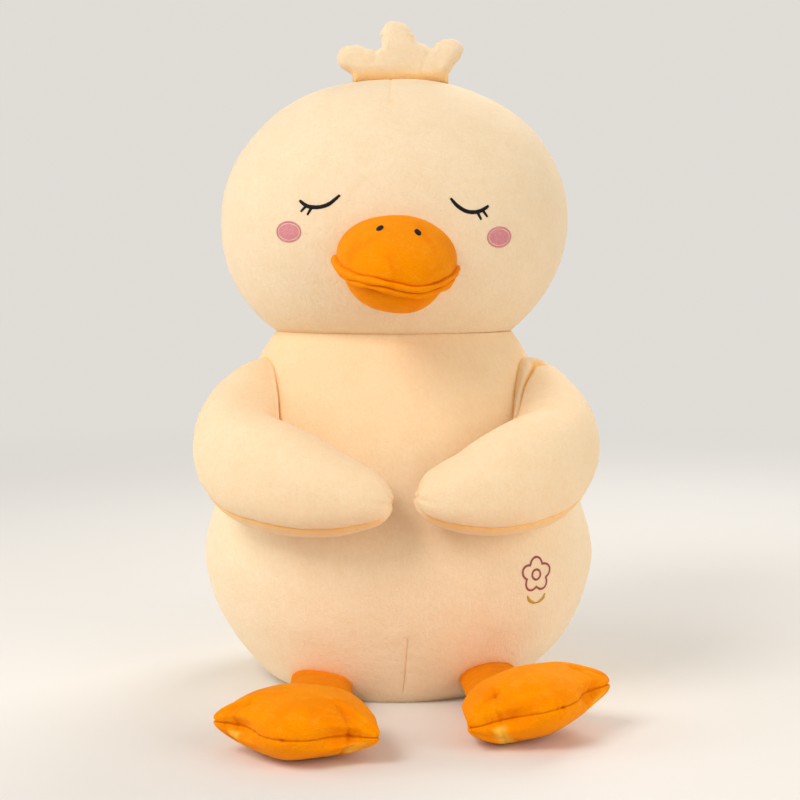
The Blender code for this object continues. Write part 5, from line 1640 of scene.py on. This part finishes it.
def build_flower(surface):
    """An outlined flower with a ringed middle, over two leaves."""
    side = FLOWER_SIDE_SHARE * BODY.x / 2
    height = FLOWER_HEIGHT_SHARE * NECK_HEIGHT
    _, out = nearest(surface, body_surface(side, height))
    aside = UP.cross(out).normalized().x

    def on_belly(flat):
        return [body_surface(side + across * aside, height + up) for across, up in flat]

    turns = np.linspace(0, 2 * pi, FLOWER_POINTS, endpoint=False)
    petals = FLOWER_RADIUS * (1 - FLOWER_PETAL_SHARE * (1 - np.abs(np.cos(FLOWER_PETALS * turns / 2))))
    seed = SEEDS["flower"]
    outline = on_belly(zip(petals * np.sin(turns), petals * np.cos(turns)))
    line = guide(surface, outline, [FLOWER_LINE] * len(outline), closed=True)
    embroider("satin_flower", [line], ROSE_THREAD, "pink_thread", "torso", "flower_outline", seed=seed)
    turns = turns[::FLOWER_CENTRE_STEP]
    middle = on_belly(zip(FLOWER_CENTRE_RADIUS * np.sin(turns), FLOWER_CENTRE_RADIUS * np.cos(turns)))
    line = guide(surface, middle, [FLOWER_LINE] * len(middle), closed=True)
    embroider("satin_flower_middle", [line], ROSE_THREAD, "pink_thread", "torso", "flower_centre", seed=seed + 1)

    bend_side, bend_rise = SPRIG_BEND_SHARES
    leaf = [(SPRIG_LEAF, SPRIG_HEIGHT), (SPRIG_LEAF * bend_side, SPRIG_HEIGHT * bend_rise)]
    flat = leaf + [(0, 0)] + [(-across, up) for across, up in reversed(leaf)]
    places = np.linspace(0, 1, SPRIG_POINTS)
    rows = spline([(across, up - SPRIG_DROP - SPRIG_HEIGHT) for across, up in flat], places)
    thin, swell = SPRIG_LINE_SHARES
    widths = FLOWER_LINE * (thin + swell * np.abs(np.sin(2 * pi * places)))
    line = guide(surface, on_belly(rows), widths)
    embroider("satin_sprig", [line], OCHRE_THREAD, "ochre_thread", "torso", "flower_sprig", seed=seed + 2)


# Studio


def build_studio():
    """A pale floor that fades into an even backdrop, soft lamps, and the photograph's camera."""
    corners = [(x * FLOOR_REACH, y * FLOOR_REACH, 0) for x, y in ((-1, -1), (1, -1), (1, 1), (-1, 1))]
    mesh = bpy.data.meshes.new("studio_floor")
    mesh.from_pydata(corners, [], [(0, 1, 2, 3)])
    floor = put("studio_floor", mesh)
    paper = Finish("studio_paper", {"Roughness": 0.9, "Specular IOR Level": 0.0, "Emission Strength": 1.0})
    grain = paper.noise(FLOOR_GRAIN, 2.0)
    away = paper.node("VectorMath", {"operation": "LENGTH"}, {0: paper.place()}, output="Value")
    far = paper.steps(away, *FLOOR_FADE)
    seen = paper.node("LightPath", output="Is Camera Ray") + paper.node("LightPath", output="Is Glossy Ray")
    lit = paper.mix(grain, *FLOOR_TONES)
    paper.feed("Base Color", paper.mix(far, lit, (0, 0, 0)))
    paper.feed("Emission Color", paper.mix(far * seen, (0, 0, 0), BACKDROP))
    mesh.materials.append(paper.material)

    world = bpy.data.worlds.new("studio_world")
    world.use_nodes = True
    tree = world.node_tree
    glow = tree.nodes["Background"]
    glow.inputs["Color"].default_value = (*GLOW, 1)
    glow.inputs["Strength"].default_value = GLOW_STRENGTH
    backdrop = tree.nodes.new("ShaderNodeBackground")
    backdrop.inputs["Color"].default_value = (*BACKDROP, 1)
    either = tree.nodes.new("ShaderNodeMath")
    path = tree.nodes.new("ShaderNodeLightPath")
    choice = tree.nodes.new("ShaderNodeMixShader")
    tree.links.new(path.outputs["Is Camera Ray"], either.inputs[0])
    tree.links.new(path.outputs["Is Glossy Ray"], either.inputs[1])
    tree.links.new(either.outputs[0], choice.inputs[0])
    tree.links.new(glow.outputs[0], choice.inputs[1])
    tree.links.new(backdrop.outputs[0], choice.inputs[2])
    tree.links.new(choice.outputs[0], tree.nodes["World Output"].inputs["Surface"])
    bpy.context.scene.world = world
    for name, (place, size, watts, colour) in LAMPS.items():
        lamp = bpy.data.lights.new(name, "AREA")
        lamp.size = size
        lamp.energy = watts
        lamp.color = colour
        holder = put(name, lamp)
        holder.location = place
        holder.rotation_euler = (LAMP_AIM - Vector(place)).to_track_quat("-Z", "Y").to_euler()

    lens = bpy.data.cameras.new("camera")
    lens.lens = CAMERA_LENS
    lens.sensor_width = CAMERA_FILM
    camera = put("camera", lens)
    camera.location = CAMERA_PLACE
    camera.rotation_euler = (radians(90 - CAMERA_DIP_DEGREES), 0, 0)
    bpy.context.scene.camera = camera
    bpy.context.scene.view_settings.view_transform = "Standard"


build_studio()
body = build_body()
head = build_head()
bill = build_bill()
build_crest()
arms = [build_arm(side) for side in SIDES]
legs = [build_leg(side) for side in SIDES]
for side in SIDES:
    build_foot(side)
tail = build_tail()
paint_contact_shade(body, *arms, *legs, tail)
for limb in arms + legs:
    paint_contact_shade(limb, body)
body_form = surface_of(body)
build_label(body_form)
build_face(surface_of(head))
build_nostrils(surface_of(bill))
build_flower(body_form)
